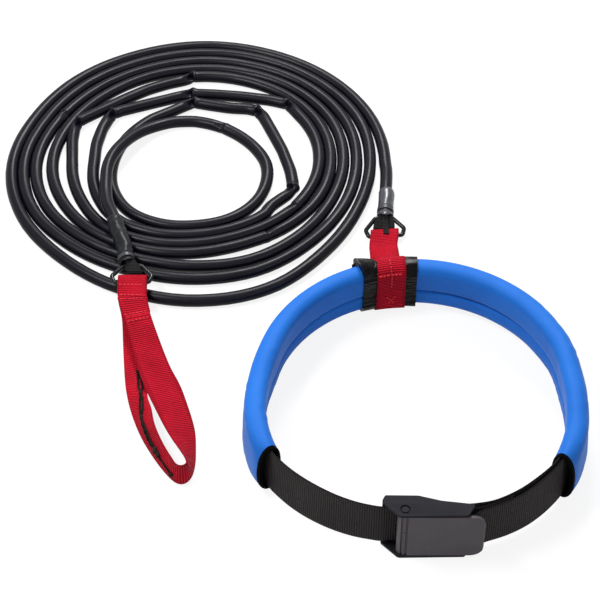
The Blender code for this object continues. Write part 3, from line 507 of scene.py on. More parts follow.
def skin(name, loops, materials, uvs=None, closed=False, slots=None, angle=40.0):
    """Skins a row of closed loops of equal count, capped at both ends or joined into a ring."""
    count = len(loops[0])
    rows = len(loops)
    faces, owners = [], []
    for i in range(rows if closed else rows - 1):
        j = (i + 1) % rows
        for k in range(count):
            m = (k + 1) % count
            faces.append((i * count + k, i * count + m, j * count + m, j * count + k))
            owners.append(slots[i] if slots else 0)
    if not closed:
        faces.append(tuple(range(count))[::-1])
        faces.append(tuple((rows - 1) * count + k for k in range(count)))
        owners += [owners[0], owners[-1]]
    vertices = [point for loop in loops for point in loop]
    flat = [uv for row in uvs for uv in row] if uvs else None
    return mesh_object(name, vertices, faces, materials, flat, angle, owners if slots else None)


def uv_row(sides, travelled):
    return [(k / sides, travelled) for k in range(sides)]


def sweep(name, path, section, material, sides, cyclic=False, up=UP):
    """Skins rings round a path: section(index, turn) gives sideways and upward reach in mm."""
    loops, uvs = [], []
    rows = zip(path, tangents(path, cyclic), lengths_along(path))
    for i, (point, way, travelled) in enumerate(rows):
        side, top = sideways(way, up)
        reaches = [section(i, turn) for turn in circle(sides)]
        loops.append([point + side * out * MM + top * rise * MM for out, rise in reaches])
        uvs.append(uv_row(sides, travelled))
    return skin(name, loops, material, uvs, closed=cyclic)


# The upper half of a strap's section, as shares of its half width and half thickness
STRAP_TOP = [
    (-1.0, 0.0), (-0.97, 0.8), (-0.90, 1.0), (-0.5, 1.0), (0.0, 1.0), (0.5, 1.0), (0.90, 1.0), (0.97, 0.8),
]
STRAP_SECTION = STRAP_TOP + [(-across, -height) for across, height in STRAP_TOP]


def strip(name, rows, thickness, material, closed=False):
    """A strap from rows of left and right edge points, with soft edges and a metric UV map."""
    middles = [(a + b) / 2.0 for a, b in rows]
    loops, uvs = [], []
    stations = zip(rows, middles, tangents(middles, closed), lengths_along(middles))
    for (left, right), middle, way, travelled in stations:
        half = (right - left) / 2.0
        lift = half.cross(way).normalized() * thickness * MM / 2.0
        loops.append([middle + half * across + lift * height for across, height in STRAP_SECTION])
        uvs.append([(across * half.length, travelled) for across, height in STRAP_SECTION])
    return skin(name, loops, material, uvs, closed=closed, angle=50.0)


def resampled(rows, steps):
    """Rows of (left, right) points again, with some more between each two along a smooth curve."""
    left = [a for a, _ in rows]
    right = [b for _, b in rows]
    count = (len(rows) - 1) * steps
    return [(smooth_between(left, i / steps), smooth_between(right, i / steps)) for i in range(count + 1)]


# The tube

TUBE_RADIUS = 6.35
TUBE_SAG = 0.035
COIL_CENTRE = (-107.0, 190.6)
# Reach from the coil's centre every 22.5 degrees, counterclockwise from +X, 16 to a turn
TURN_REACH = [
    197.5, 198.0, 196.5, 195.0, 195.0, 194.0, 195.0, 195.0,
    198.5, 197.0, 193.0, 194.5, 197.5, 196.0, 185.0, 180.0,
    181.5, 185.0, 183.5, 182.5, 182.0, 181.0, 182.0, 182.5,
    186.0, 183.5, 174.5, 168.0, 167.5, 168.0, 165.0, 165.0,
    167.0, 170.5, 170.5, 169.0, 168.5, 167.5, 168.0, 169.5,
    173.0, 169.0, 159.0, 151.5, 150.0, 152.0, 150.5, 150.0,
    153.0, 156.5, 157.0, 156.0, 155.0, 154.5, 154.0, 155.5,
    156.0, 151.5, 145.5, 137.5, 131.0, 128.0, 132.0, 136.5,
    139.5, 142.5, 143.5, 143.0, 143.0, 141.5, 140.0, 137.5,
    135.0, 133.0, 132.5, 125.0, 118.0, 115.5, 118.0, 122.5,
    127.0, 130.5, 131.0, 122.5, 113.0, 111.5, 112.0, 112.0,
    112.0, 115.0, 117.0, 111.5, 105.0, 103.0, 103.0, 99.5,
    96.0, 97.0, 98.0, 96.5, 94.0, 91.0, 89.0, 89.5,
    92.0, 97.0, 100.0, 97.0, 92.0, 89.0, 84.0, 77.0,
    71.0, 64.5, 61.5, 62.5, 67.0, 75.0, 81.0,
]
REACHES_PER_TURN = 16
POINTS_PER_TURN = 90
BELT_LEAD = [(89.5, 146.5, 8.6), (90.3, 156.0, 8.4), (91.1, 170.0, 7.5), (91.3, 182.0, 6.6)]
COIL_END = 7.27
CROSSING = [
    (-135.6, 257.4, 7.2), (-149.5, 252.2, 8.2), (-162.0, 244.8, 9.8), (-172.2, 236.0, 12.0),
    (-182.1, 223.6, 14.8), (-189.7, 210.7, 17.2), (-196.2, 197.0, 18.9), (-200.1, 185.3, 19.5),
    (-202.1, 175.6, 19.6), (-203.0, 165.0, 19.5), (-202.8, 153.4, 19.4), (-202.4, 141.3, 19.4),
    (-201.3, 130.9, 19.5), (-199.0, 118.3, 20.2), (-195.0, 106.5, 21.0), (-191.5, 97.5, 21.6),
    (-190.0, 92.4, 21.9),
]
# Where the empty tube has buckled, its turns run straight from fold to fold. Each stretch takes over
# from the coil between two places in turns; its points are corners on the plan, each with its radius.
FOLDED = [
    (4.25, 4.50, [
        (-116.7, 333.2, 60), (-128.2, 327.0, 60), (-146.2, 321.3, 90), (-167.8, 311.3, 90),
        (-189.0, 297.3, 90), (-212.0, 280.6, 90), (-243.4, 257.3, 27), (-244.9, 228.5, 90),
    ]),
    (5.10, 5.50, [
        (-12.5, 287.1, 27), (-32.9, 293.8, 90), (-66.0, 299.6, 90), (-94.7, 302.8, 90),
        (-121.0, 304.2, 30), (-144.9, 295.0, 90), (-175.1, 283.9, 90), (-205.2, 272.6, 27),
        (-214.0, 246.0, 60), (-218.6, 221.5, 90),
    ]),
    (5.87, 6.35, [
        (-31.2, 126.4, 60), (-6.3, 151.5, 27), (-10.0, 180.4, 90), (-18.8, 212.6, 90), (-29.4, 240.4, 90),
        (-44.6, 278.6, 27), (-76.5, 280.8, 90), (-98.5, 285.6, 60), (-117.3, 290.3, 27),
        (-141.8, 274.0, 60),
    ]),
]
# Folds on the plan: place, depth, and the side on which the tube is hollowed (1 onward, -1 before)
FOLDS = [
    (-119.5, 332.0, 1.0, 1), (-240.5, 257.0, 1.0, 1), (-14.0, 285.5, 0.9, -1), (-119.5, 303.2, 0.9, 1),
    (-203.0, 271.5, 1.0, 1), (-8.0, 153.5, 0.9, -1), (-46.0, 277.0, 0.9, -1), (-117.0, 289.0, 1.0, 1),
    (-6.5, 127.0, 0.35, -1), (-28.0, 78.0, 0.25, 1), (-76.0, 259.0, 0.3, 1), (-259.0, 265.0, 0.3, 1),
]
FOLD_SPAN = 20.0
# The tube's points are this far apart: on its two leads, elsewhere, and at its folds
LEAD_SPACING = 4.0
COARSE_SPACING = 6.0
FINE_SPACING = 1.2
# The shape of a fold: how wide its corner and rim are, and where its hollow starts and fades
CORNER_WIDTH = 3.2
RIM_WIDTH = 1.8
HOLLOW_START = 1.2
HOLLOW_FADE = 8.0
# The dent in a hollow: its turn round the tube, how wide it is in radians and how deep
DENT_TURN = math.radians(118.0)
DENT_WIDTH = 0.62
DENT_DEPTH = 5.3


def plan_point(centre, radius, angle):
    """A place on the plan at an angle in degrees round a centre."""
    turn = math.radians(angle)
    return centre[0] + radius * math.cos(turn), centre[1] + radius * math.sin(turn)


def coil_plan(turns):
    return plan_point(COIL_CENTRE, smooth_between(TURN_REACH, turns * REACHES_PER_TURN), 360.0 * turns)


def coil_point(turns):
    return place(*coil_plan(turns), TUBE_RADIUS)


def rounded_run(corners):
    """Points along a run of straight lines whose corners, (x, y, radius), are rounded."""
    points = [Vector((x, y)) for x, y, _ in corners]
    route = [points[0]]
    for before, corner, after, (_, _, radius) in zip(points, points[1:], points[2:], corners[1:]):
        route += corner_arc(before, corner, after, radius)
    return route + [points[-1]]


def coil_route():
    """The coil's middle line, the stretches between its folds run straight."""
    route = []
    at = 0.0
    step = 1.0 / POINTS_PER_TURN
    for start, end, corners in FOLDED:
        while at < start - step / 2.0:
            route.append(coil_point(at))
            at += step
        run = [(*coil_plan(start), 0.0)] + corners + [(*coil_plan(end), 0.0)]
        route += [place(p.x, p.y, TUBE_RADIUS) for p in rounded_run(run)[:-1]]
        at = end
    while at < COIL_END:
        route.append(coil_point(at))
        at += step
    return route + [coil_point(COIL_END)]


def spaced(path, coarse, fine, marks, span):
    """The path again with its points a set distance apart, closer within a span of each mark."""
    lengths = lengths_along(path)
    places = [min(range(len(path)), key=lambda i: (path[i] - mark).length) for mark in marks]
    marked = [lengths[i] for i in places]
    out, at, index = [], 0.0, 0
    while at < lengths[-1] - fine / 2.0:
        while lengths[index + 1] < at:
            index += 1
        share = (at - lengths[index]) / max(lengths[index + 1] - lengths[index], 1e-9)
        out.append((path[index].lerp(path[index + 1], share), at))
        near = min(abs(at - m) for m in marked)
        at += fine if near < span else min(coarse, max(fine, near - span))
    out.append((path[-1], lengths[-1]))
    return [p for p, _ in out], [d for _, d in out], marked


def fold_push(offset, turn):
    """How far a fold pushes the tube's skin out and up: a bent corner, a raised rim, a hollow."""
    corner = bell(offset, CORNER_WIDTH)
    rim = bell(offset + RIM_WIDTH, RIM_WIDTH)
    hollow = clamped(offset / HOLLOW_START) * bell(max(offset - HOLLOW_START, 0.0), HOLLOW_FADE)
    dent = bell(turn - DENT_TURN, DENT_WIDTH) * hollow * DENT_DEPTH
    outer, top = max(math.cos(turn), 0.0), max(math.sin(turn), 0.0)
    out = 1.6 * corner + 0.7 * rim * math.cos(turn) - 0.6 * hollow * outer - dent * math.cos(DENT_TURN)
    return out, 0.9 * rim * top - 0.8 * hollow * top - dent * math.sin(DENT_TURN)


def make_tube(material):
    """One tube from the belt's sleeve, round the coil and back across it to the hand loop's sleeve."""
    spacing = LEAD_SPACING * MM
    lead = smooth_route([place(*p) for p in BELT_LEAD] + [coil_point(0.0)], spacing)[:-1]
    tail = smooth_route([coil_point(COIL_END)] + [place(*p) for p in CROSSING], spacing)[1:]
    route = lead + coil_route() + tail
    marks = [place(x, y, TUBE_RADIUS) for x, y, _, _ in FOLDS]
    path, travelled, marked = spaced(route, COARSE_SPACING * MM, FINE_SPACING * MM, marks, FOLD_SPAN * MM)
    folds = [(m / MM, depth, way) for m, (_, _, depth, way) in zip(marked, FOLDS)]

    def section(i, turn):
        here = travelled[i] / MM
        flat = 0.05 * noise_at(here * 0.016, 3.0, 0.0) + 0.03 * noise_at(here * 0.06, 8.0, 0.0)
        drift = here * 0.004
        ridge = 0.022 * noise_at(math.cos(turn + drift) * 2.6, math.sin(turn + drift) * 2.6, here * 0.008)
        out = TUBE_RADIUS * (1.0 + TUBE_SAG + flat + ridge) * math.cos(turn)
        rise = TUBE_RADIUS * (1.0 - TUBE_SAG - flat + ridge) * math.sin(turn)
        for at, depth, way in folds:
            offset = (here - at) * way
            if abs(offset) < FOLD_SPAN:
                push = fold_push(offset, turn)
                out += push[0] * depth
                rise += push[1] * depth
        return out, rise

    tube = sweep("tether_tube", path, section, material, sides=28)
    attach(tube, "tether")
    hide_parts("tube_coil", "tube_lead_belt", "tube_lead_handle")
    tuple(path[0])
    [tuple(p) for p in path]


# Sleeves, clamps, tapes and rings at the tube's two ends

BELT_END = dict(start=(87.8, 107.2, 9.3), back=(90.3, 146.5, 8.6), yaw=5.0, dip=12.3)
HANDLE_END = dict(start=(-172.1, 26.5, 21.9), back=(-190.3, 93.0, 21.9), yaw=0.0, dip=1.3)
SLEEVE_MOUTH_GAP = 3.7
# The end gathered round the tape, from inside out: place along the sleeve, reach sideways and up
SLEEVE_GATHER = [(6.0, 5.2, 5.4), (1.8, 5.4, 5.6), (0.6, 6.2, 6.2), (0.0, 7.6, 7.6)]
SLEEVE_PROFILE = [
    (0.0, 8.1), (0.5, 8.75), (1.4, 8.8), (2.4, 8.2), (3.3, 7.35), (5.8, 7.25), (8.3, 7.35), (9.6, 8.1),
    (12.0, 8.35),
]
SLEEVE_RADIUS = 8.35
SLEEVE_SIDES = 40
SLEEVE_LIP = 7.0
SLEEVE_END = 3.5
CLAMP_PLACE = 5.8
# The clamp's section: along the sleeve, and off its middle
CLAMP_PROFILE = [(-2.3, 7.65), (-2.3, 8.35), (-1.9, 8.75), (1.9, 8.75), (2.3, 8.35), (2.3, 7.65)]
CLAMP_TEETH = 36


def end_line(spec):
    """Where a sleeve starts and ends, and the way along it from the ring."""
    start, back = place(*spec["start"]), place(*spec["back"])
    return start, back, (back - start).normalized()


def profile_at(profile, distance):
    for (a, first), (b, second) in zip(profile, profile[1:]):
        if a <= distance <= b:
            return blended(first, second, eased((distance - a) / (b - a)))
    return profile[-1][1]


def make_sleeve(side, spec, bends, lump, lip, material):
    """Rubber sleeve shrunk over the tube's end: a rolled lip, a waist under its clamp, loose wrinkles."""
    start, back, axis = end_line(spec)
    mouth = start + axis * SLEEVE_MOUTH_GAP * MM
    length = (back - mouth).length / MM
    line = [mouth + axis * distance * MM for distance in (0.0, 4.0, 9.0)]
    path = smooth_route(line + [place(*p) for p in bends] + [back], 1.4 * MM)
    lean = axis * -lip * MM
    across, top = sideways(axis)
    loops, uvs = [], []
    for row, (distance, wide, high) in enumerate(SLEEVE_GATHER):
        loop = []
        for turn in circle(SLEEVE_SIDES):
            pucker = 1.0 + 0.05 * math.sin(turn * 9.0)
            reach = (across * math.cos(turn) * wide + top * math.sin(turn) * high) * pucker
            loop.append(mouth + (axis * distance + reach) * MM + lean * max(math.sin(turn), 0.0) ** 2)
        loops.append(loop)
        uvs.append(uv_row(SLEEVE_SIDES, -0.002 * (len(SLEEVE_GATHER) - row)))
    for point, way, along in zip(path, tangents(path), lengths_along(path)):
        travelled = along / MM
        end = clamped((travelled - (length - SLEEVE_END)) / SLEEVE_END)
        radius = SLEEVE_RADIUS - 0.25 * math.sin(travelled * 0.11)
        if travelled <= SLEEVE_PROFILE[-1][0]:
            radius = profile_at(SLEEVE_PROFILE, travelled)
        radius -= 0.9 * end ** 2
        forward = lean * clamped(1.0 - travelled / SLEEVE_LIP)
        quiet = clamped((travelled - SLEEVE_LIP) / 6.0) * (1.0 - 0.7 * end)
        across, top = sideways(way)
        loop = []
        for turn in circle(SLEEVE_SIDES):
            spoke = across * math.cos(turn) + top * math.sin(turn)
            probe = point + spoke * radius * MM
            wrinkle = noise_at(math.cos(turn) * 1.3, math.sin(turn) * 1.3, travelled * 0.16)
            push = (wrinkle + noise.noise(probe * 210.0) * 0.45) * lump * quiet
            loop.append(probe + spoke * push * MM + forward * max(math.sin(turn), 0.0) ** 2)
        loops.append(loop)
        uvs.append(uv_row(SLEEVE_SIDES, along))
    obj = skin("sleeve_" + side, loops, material, uvs, angle=60.0)
    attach(obj, "tether")
    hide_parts("end_sleeve_" + side)
    return axis, mouth


def make_clamp(side, axis, mouth, material):
    """Nylon tie pulled tight in the sleeve's waist, ribbed across, with its tail trimmed off."""
    across, top = sideways(axis)
    loops, uvs = [], []
    for k, turn in enumerate(circle(CLAMP_TEETH * 2)):
        spoke = across * math.cos(turn) + top * math.sin(turn)
        tooth = 0.10 if k % 2 else 0.0
        loop = []
        for along, radius in CLAMP_PROFILE:
            reach = radius - (tooth if radius > 8.5 else 0.0)
            loop.append(mouth + (axis * (CLAMP_PLACE + along) + spoke * reach) * MM)
        loops.append(loop)
        uvs.append(uv_row(len(CLAMP_PROFILE), k * 0.0007))
    obj = skin("clamp_" + side, loops, material, uvs, closed=True)
    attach(obj, "tether")
    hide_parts("cable_tie_" + side)


RING_DEPTH = 22.0
RING_WIRE_RADIUS = 2.25
RING_CORNERS = [(-8.5, 0.0), (8.5, 0.0), (20.0, -14.0), (17.5, -22.0), (-17.5, -22.0), (-20.0, -14.0)]
RING_FILLETS = [4.0, 4.0, 3.5, 3.0, 3.0, 3.5]
BELT_RING = dict(apex=(86.2, 107.2, 9.3), yaw=5.0, dip=12.3)
HANDLE_RING = dict(apex=(-167.6, 26.5, 21.9), yaw=0.0, dip=1.3)


def ring_frame(spec):
    turned = Matrix.Rotation(math.radians(spec["yaw"]), 4, "Z")
    tilted = Matrix.Rotation(math.radians(spec["dip"]), 4, "X")
    return Matrix.Translation(place(*spec["apex"])) @ turned @ tilted


def make_ring(name, node, body, spec, material):
    """Wire ring with round section and drawn bends, the joint of its wire hidden at the apex."""
    turned = ring_frame(spec)
    corners = [Vector(corner) for corner in RING_CORNERS]
    outline = []
    for i, radius in enumerate(RING_FILLETS):
        outline += corner_arc(corners[i - 1], corners[i], corners[(i + 1) % len(corners)], radius, 8)
    path = [turned @ (Vector((p.x, p.y, 0.0)) * MM) for p in outline]

    def section(_, turn):
        return RING_WIRE_RADIUS * math.cos(turn), RING_WIRE_RADIUS * math.sin(turn)

    obj = sweep(name, path, section, material, 20, True, turned.to_3x3() @ UP)
    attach(obj, body)
    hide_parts(node)


# Stations of a tape: along the sleeve from the ring's wire, off its middle, and half its width
TAPE_RUN = [
    (18.0, 4.0, 3.5), (12.0, 4.3, 3.6), (8.0, 4.6, 3.9), (4.5, 4.8, 4.8), (2.0, 4.5, 5.4), (0.0, 3.9, 5.8),
]
# The same where it spreads round the wire, the last at its fold
TAPE_FAN = [(-3.0, 3.0, 6.8), (-6.0, 2.1, 7.8), (-8.8, 1.2, 8.1), (-9.8, 0.0, 8.1)]
TAPE_THICKNESS = 1.0
# Stations of the loose end: along from the wire, height and shift to the side
TAIL_RUN = [
    (6.5, 5.3, -0.6), (3.7, 6.2, -0.6), (0.0, 5.8, -0.4), (-5.0, 3.9, 0.2), (-10.0, 2.0, 0.7),
    (-13.0, 0.9, 1.0), (-15.5, 0.3, 1.3), (-18.0, 0.0, 1.6), (-20.5, 0.0, 1.9), (-23.0, 0.1, 2.2),
]
TAIL_THICKNESS = 0.8
TAIL_HALF_WIDTH = 3.0
# The station where the loose end is cut into its two pieces
TAIL_JOINT = 6


def make_tape(side, spec, shift, spread, material):
    """Webbing loop that holds the ring: spread where it passes its wire, gathered into the sleeve."""
    start, _, axis = end_line(spec)
    across, over = sideways(axis)
    wire = level(spec["yaw"])
    fan = [(distance * spread, lift, half * spread) for distance, lift, half in TAPE_FAN]
    out = TAPE_RUN + fan[:-1]
    home = [(distance, -lift, half) for distance, lift, half in out[::-1]]
    rows = []
    for distance, lift, half in out + fan[-1:] + home:
        near = clamped(1.0 - distance / 7.0)
        dip = min(distance, 0.0) * math.tan(math.radians(spec["dip"]))
        middle = start + (axis * distance + over * (lift + dip) + wire * shift * near) * MM
        rows.append((middle, half, across.lerp(wire, near).normalized()))
    for step in range(1, 7):
        turn = math.radians(270.0 + 25.7 * step)
        spoke = axis * math.cos(turn) + over * math.sin(turn)
        rows.append((start + (axis * TAPE_RUN[0][0] + spoke * 3.9) * MM, TAPE_RUN[0][2], across))
    pairs = [(m - way * half * MM, m + way * half * MM) for m, half, way in rows]
    rows = resampled(pairs + pairs[:1], 2)[:-1]
    obj = strip("ring_tape_" + side, rows, TAPE_THICKNESS, material, closed=True)
    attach(obj, "tether")
    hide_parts("anchor_tape_" + side)


def make_tape_tail(spec, material):
    """The loose end of the belt ring's tape, lying out of the sleeve over the ring and the red tab."""
    start, _, axis = end_line(spec)
    side, _ = sideways(axis)
    rows = []
    for distance, lift, shift in TAIL_RUN:
        middle = start + (axis * distance + UP * lift + side * shift) * MM
        reach = side * TAIL_HALF_WIDTH * MM
        rows.append((middle - reach, middle + reach))
    rows = resampled(rows, 4)
    joint = TAIL_JOINT * 4
    parts = (("ring_tape_tail", rows[:joint + 1], "tether", "belt_ring", 2.0, -5.0),
             ("ring_tape_tip", rows[joint:], "belt_ring", "slider", -18.0, -23.0))
    for name, part, first, second, begin, finish in parts:
        obj = strip(name, part, TAIL_THICKNESS, material)
        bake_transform(obj)


# The belt

BELT_CENTRE = (110.0, -148.0)
BELT_MIDDLE_HEIGHT = 31.0
BELT_LEAN = 0.06
BELT_RADII = [
    (-73.0, 162.8), (-59.0, 163.8), (-48.0, 162.7), (-37.0, 161.0), (-25.0, 156.3), (-12.0, 150.2),
    (-3.0, 146.6), (5.0, 145.0), (14.0, 145.0), (90.0, 145.0), (156.0, 145.0), (165.0, 145.0),
    (175.0, 147.3), (185.0, 152.0), (197.0, 158.6), (210.0, 164.0), (222.0, 163.4),
    (235.0, 161.2), (245.0, 159.7), (255.0, 157.2), (262.0, 155.0),
]
PAD_ARC = (5.0, 165.0)
PAD_ARC_RADIUS = 145.0
PAD_RIGHT_END = -37.8
PAD_LEFT_END = 213.0
# About the belt's radius at both of the pad's ends
PAD_END_RADIUS = 160.0
PAD_STEP = 1.8
PAD_HALF_THICKNESS = 10.5
PAD_HALF_HEIGHT = 27.5
PAD_CORNER = 9.5
PAD_CREASE_DEPTH = 3.4
PAD_CREASE_HEIGHT = -4.8
PAD_BORE = (2.4, 25.9)
# The crease, from above: rise over its middle, and share of its depth
PAD_CREASE = (
    (13.0, -0.05), (6.0, -0.08), (2.6, 0.05), (1.0, 0.5), (0.0, 1.0), (-0.9, 0.7), (-1.8, 0.3), (-4.0, 0.05),
)
# The pad's mouths, where half thickness, half height and corners blend into an oval
MOUTH_LENGTH = 26.0
MOUTH = (12.2, 27.8)
MOUTH_BORE = (8.6, 26.4)
MOUTH_CORNER = 11.2
MOUTH_OVAL = 0.85
BORE_OVAL = 0.8
BINDING_LENGTH = 3.4
BINDING_THICKNESS = 1.2
WEBBING_WIDTH = 50.8
WEBBING_THICKNESS = 1.8
SLIDER_ANGLE = 99.0


def belt_radius(angle):
    if PAD_ARC[0] <= angle <= PAD_ARC[1]:
        return PAD_ARC_RADIUS
    for index, ((low, _), (high, _)) in enumerate(zip(BELT_RADII, BELT_RADII[1:])):
        if low <= angle <= high:
            return smooth_between([r for _, r in BELT_RADII], index + (angle - low) / (high - low))
    raise ValueError("angle off the belt")


def belt_point(angle, outward, rise):
    """A point off the belt's middle line: outward from its centre, and up from its middle height."""
    radius = belt_radius(angle) + outward - rise * BELT_LEAN
    return place(*plan_point(BELT_CENTRE, radius, angle), BELT_MIDDLE_HEIGHT + rise)


def pad_section(half_thickness, half_height, corner, crease=0.0, oval=0.0):
    """Section as (outward, rise) pairs: round corners, a crease in its inner face, oval at a mouth."""
    wide, high = half_thickness - corner, half_height - corner
    loop = []
    for number, (x, z) in enumerate(((1, 1), (-1, 1), (-1, -1), (1, -1))):
        for step in range(9):
            loop.append(plan_point((x * wide, z * high), corner, 90.0 * (number + step / 8)))
        if number == 1:
            for rise, share in PAD_CREASE:
                loop.append((-half_thickness + crease * share, PAD_CREASE_HEIGHT + rise))
    loop += [(half_thickness, share * high) for share in (-0.6, -0.2, 0.2, 0.6)]
    rounded = []
    for outward, rise in loop:
        turn = math.atan2(rise / half_height, outward / half_thickness)
        rounded.append((blended(outward, half_thickness * math.cos(turn), oval),
                        blended(rise, half_height * math.sin(turn), oval)))
    return rounded


def mouth_share(distance):
    return eased(clamped(1.0 - distance / MOUTH_LENGTH))


def pad_outer(distance, offset=0.0):
    share = mouth_share(distance)
    half = blended(PAD_HALF_THICKNESS, MOUTH[0], share) + offset
    high = blended(PAD_HALF_HEIGHT, MOUTH[1], share) + offset
    corner = blended(PAD_CORNER, MOUTH_CORNER, share) + offset
    return pad_section(half, high, corner, PAD_CREASE_DEPTH * (1.0 - share), MOUTH_OVAL * share)


def pad_bore(distance, offset=0.0):
    share = mouth_share(distance)
    half = blended(PAD_BORE[0], MOUTH_BORE[0], share) + offset
    high = blended(PAD_BORE[1], MOUTH_BORE[1], share) + offset
    return pad_section(half, high, half * blended(0.5, 0.98, share), 0.0, BORE_OVAL * share)


def end_angle(right, distance):
    end = PAD_RIGHT_END if right else PAD_LEFT_END
    turn = math.degrees(distance / belt_radius(end))
    return end + turn if right else end - turn


def pad_ring(section, angle, ripple=0.0):
    """A section set on the belt, its surface rippled in and out as soft foam is."""
    points = []
    for outward, rise in section:
        push = 0.0
        if ripple:
            soft = noise_at(angle * 0.075, outward * 0.07, rise * 0.055)
            fold = noise_at(angle * 0.42, outward * 0.10 + 7.0, rise * 0.05)
            push = (soft * 0.7 + fold * 0.45) * ripple
        push /= math.hypot(outward, rise * 0.35)
        points.append(belt_point(angle, outward * (1.0 + push), rise * (1.0 + push * 0.35)))
    return points


def pad_uvs(rows):
    """Metres round each row and along from row to row."""
    travelled = lengths_along([row[0] for row in rows])
    return [[(around, along) for around in lengths_along(row)] for row, along in zip(rows, travelled)]


def make_pad(blue, bore_material):
    """Foam pad: a soft tube bent round the back, its bore coloured near black."""
    first, last = end_angle(True, 0.0), end_angle(False, 0.0)
    steps = round((last - first) / PAD_STEP)
    outer, inner = [], []
    for step in range(steps + 1):
        angle = blended(first, last, step / steps)
        distance = math.radians(min(angle - first, last - angle)) * PAD_END_RADIUS
        offset = -BINDING_THICKNESS - 0.2 if distance < BINDING_LENGTH - 0.4 else 0.0
        # The foam ripples most at the belt's sides, and not near its own ends
        held = clamped((abs(angle - SLIDER_ANGLE) - 58.0) / 12.0)
        ripple = clamped((distance - 12.0) / 30.0) * blended(0.12, 1.3, held)
        outer.append(pad_ring(pad_outer(distance, offset), angle, ripple))
        inner.append(pad_ring(pad_bore(distance), angle))
    rows = outer + inner[::-1]
    # The bore's rows take the second material, coloured near black.
    slots = [0] * (len(outer) - 1) + [1] * (len(inner) + 1)
    pad = skin("back_pad", rows, [blue, bore_material], pad_uvs(rows), closed=True, slots=slots, angle=50.0)
    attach(pad, "belt")
    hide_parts("pad_cover")


def make_binding(name, node, right, material):
    """Woven tape folded over the pad's end, rolled at its edge, proud outside and in."""
    lip, edge, deep = BINDING_LENGTH - 0.3, BINDING_THICKNESS, BINDING_LENGTH
    # Where on the pad's surface, how far off it, and how far from the pad's end
    outside = [
        (lip, -0.5, lip), (lip, -0.1, lip - 0.3), (lip - 1.0, 0.0, lip - 1.2), (0.6, 0.0, 0.6),
        (0.0, -0.1, 0.0), (0.0, -0.3, -0.6), (0.0, -0.7, -1.25), (0.0, -1.9, -edge),
    ]
    inside = [
        (0.0, 0.6, -edge), (0.0, -0.5, -1.2), (0.0, -1.1, -0.4), (2.0, -1.2, 1.2), (5.0, -1.2, 5.0),
        (deep, -1.2, deep), (deep, -0.3, deep), (0.0, -0.3, -0.3),
    ]
    under = [(0.0, 0.3 - edge, -0.3), (lip, 0.3 - edge, lip)]
    rows = []
    for surface, stations in ((pad_outer, outside), (pad_bore, inside), (pad_outer, under)):
        rows += [pad_ring(surface(at, off), end_angle(right, distance)) for at, off, distance in stations]
    obj = skin(name, rows, material, pad_uvs(rows), closed=True, angle=60.0)
    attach(obj, "belt")
    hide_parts(node)


FIXED_BAR = (149.0, -305.3)
FIXED_BAR_RADIUS = 2.5
BAR_WRAP = FIXED_BAR_RADIUS + 0.3 + WEBBING_THICKNESS / 2.0 + 0.1
# Angles on the belt's curve: behind the buckle, past it, and past the pad
SEWN_END = (-61.0, -65.5, -70.0)
PAST_BUCKLE = (-69.0, -66.0, -62.0, -57.0, -52.0, -47.0, -42.0)
PAST_PAD = (217.0, 223.0, 229.0, 235.0, 241.0, 247.0, 252.0, 256.0)
# Places on the plan: to and from the fixed bar, and straight through the buckle
TO_BAR = [(159.0, -300.4), (153.5, -301.2)]
FROM_BAR = [(153.0, -308.4), (156.8, -306.2), (161.0, -303.5)]
THROUGH_BUCKLE = [
    (78.0, -299.4), (86.0, -299.1), (110.0, -299.0), (122.0, -298.9), (134.0, -298.3), (146.0, -297.3),
    (156.0, -296.3),
]
# The loose tail, inside the belt: angle, and how far in from the belt's curve
LOOSE_TAIL = (
    (-67.5, 5.7), (-62.0, 5.5), (-56.0, 5.3), (-50.0, 4.8), (-44.0, 4.1), (-39.0, 3.5), (-34.0, 3.0),
)


def curve_line(angle, inward=0.0):
    """A place on the belt's curve, and the share of the belt's lean that the webbing has there."""
    lean = clamped(min(angle + 70.0, 252.0 - angle) / 20.0)
    return (*plan_point(BELT_CENTRE, belt_radius(angle) - inward, angle), lean)


def webbing_line():
    """The webbing's middle line on the plan, from its sewn end, round the belt, to its loose tail."""
    steps = round((PAD_LEFT_END - PAD_RIGHT_END) / 6.0)
    in_pad = [blended(PAD_RIGHT_END, PAD_LEFT_END, step / steps) for step in range(steps + 1)]
    round_bar = [plan_point(FIXED_BAR, BAR_WRAP, 90.0 + 20.0 * step) for step in range(10)]
    line = [curve_line(angle, 2.3) for angle in SEWN_END]
    line += [(x, y, 0.0) for x, y in TO_BAR + round_bar + FROM_BAR]
    line += [curve_line(angle) for angle in (*PAST_BUCKLE, *in_pad, *PAST_PAD)]
    line += [(x, y, 0.0) for x, y in THROUGH_BUCKLE]
    return line + [curve_line(angle, inward) for angle, inward in LOOSE_TAIL]


def make_belt_webbing(material):
    half = WEBBING_WIDTH / 2.0
    centre = Vector(BELT_CENTRE)
    rows = []
    for x, y, lean in webbing_line():
        outward = (Vector((x, y)) - centre).normalized() * half * BELT_LEAN * lean
        low = place(x + outward.x, y + outward.y, BELT_MIDDLE_HEIGHT - half)
        high = place(x - outward.x, y - outward.y, BELT_MIDDLE_HEIGHT + half)
        rows.append((low, high))
    obj = strip("waist_webbing", resampled(rows, 3), WEBBING_THICKNESS, material)
    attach(obj, "belt")
    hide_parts("belt_webbing")


# The slider round the pad

WRAP_WIDTH = 55.0
WRAP_THICKNESS = 1.4
# Degrees by which the wrap's left edge spreads
WRAP_SPREAD = 1.1
BAND_WIDTH = 31.4
BAND_THICKNESS = 1.2
BAND_STEPS = 14
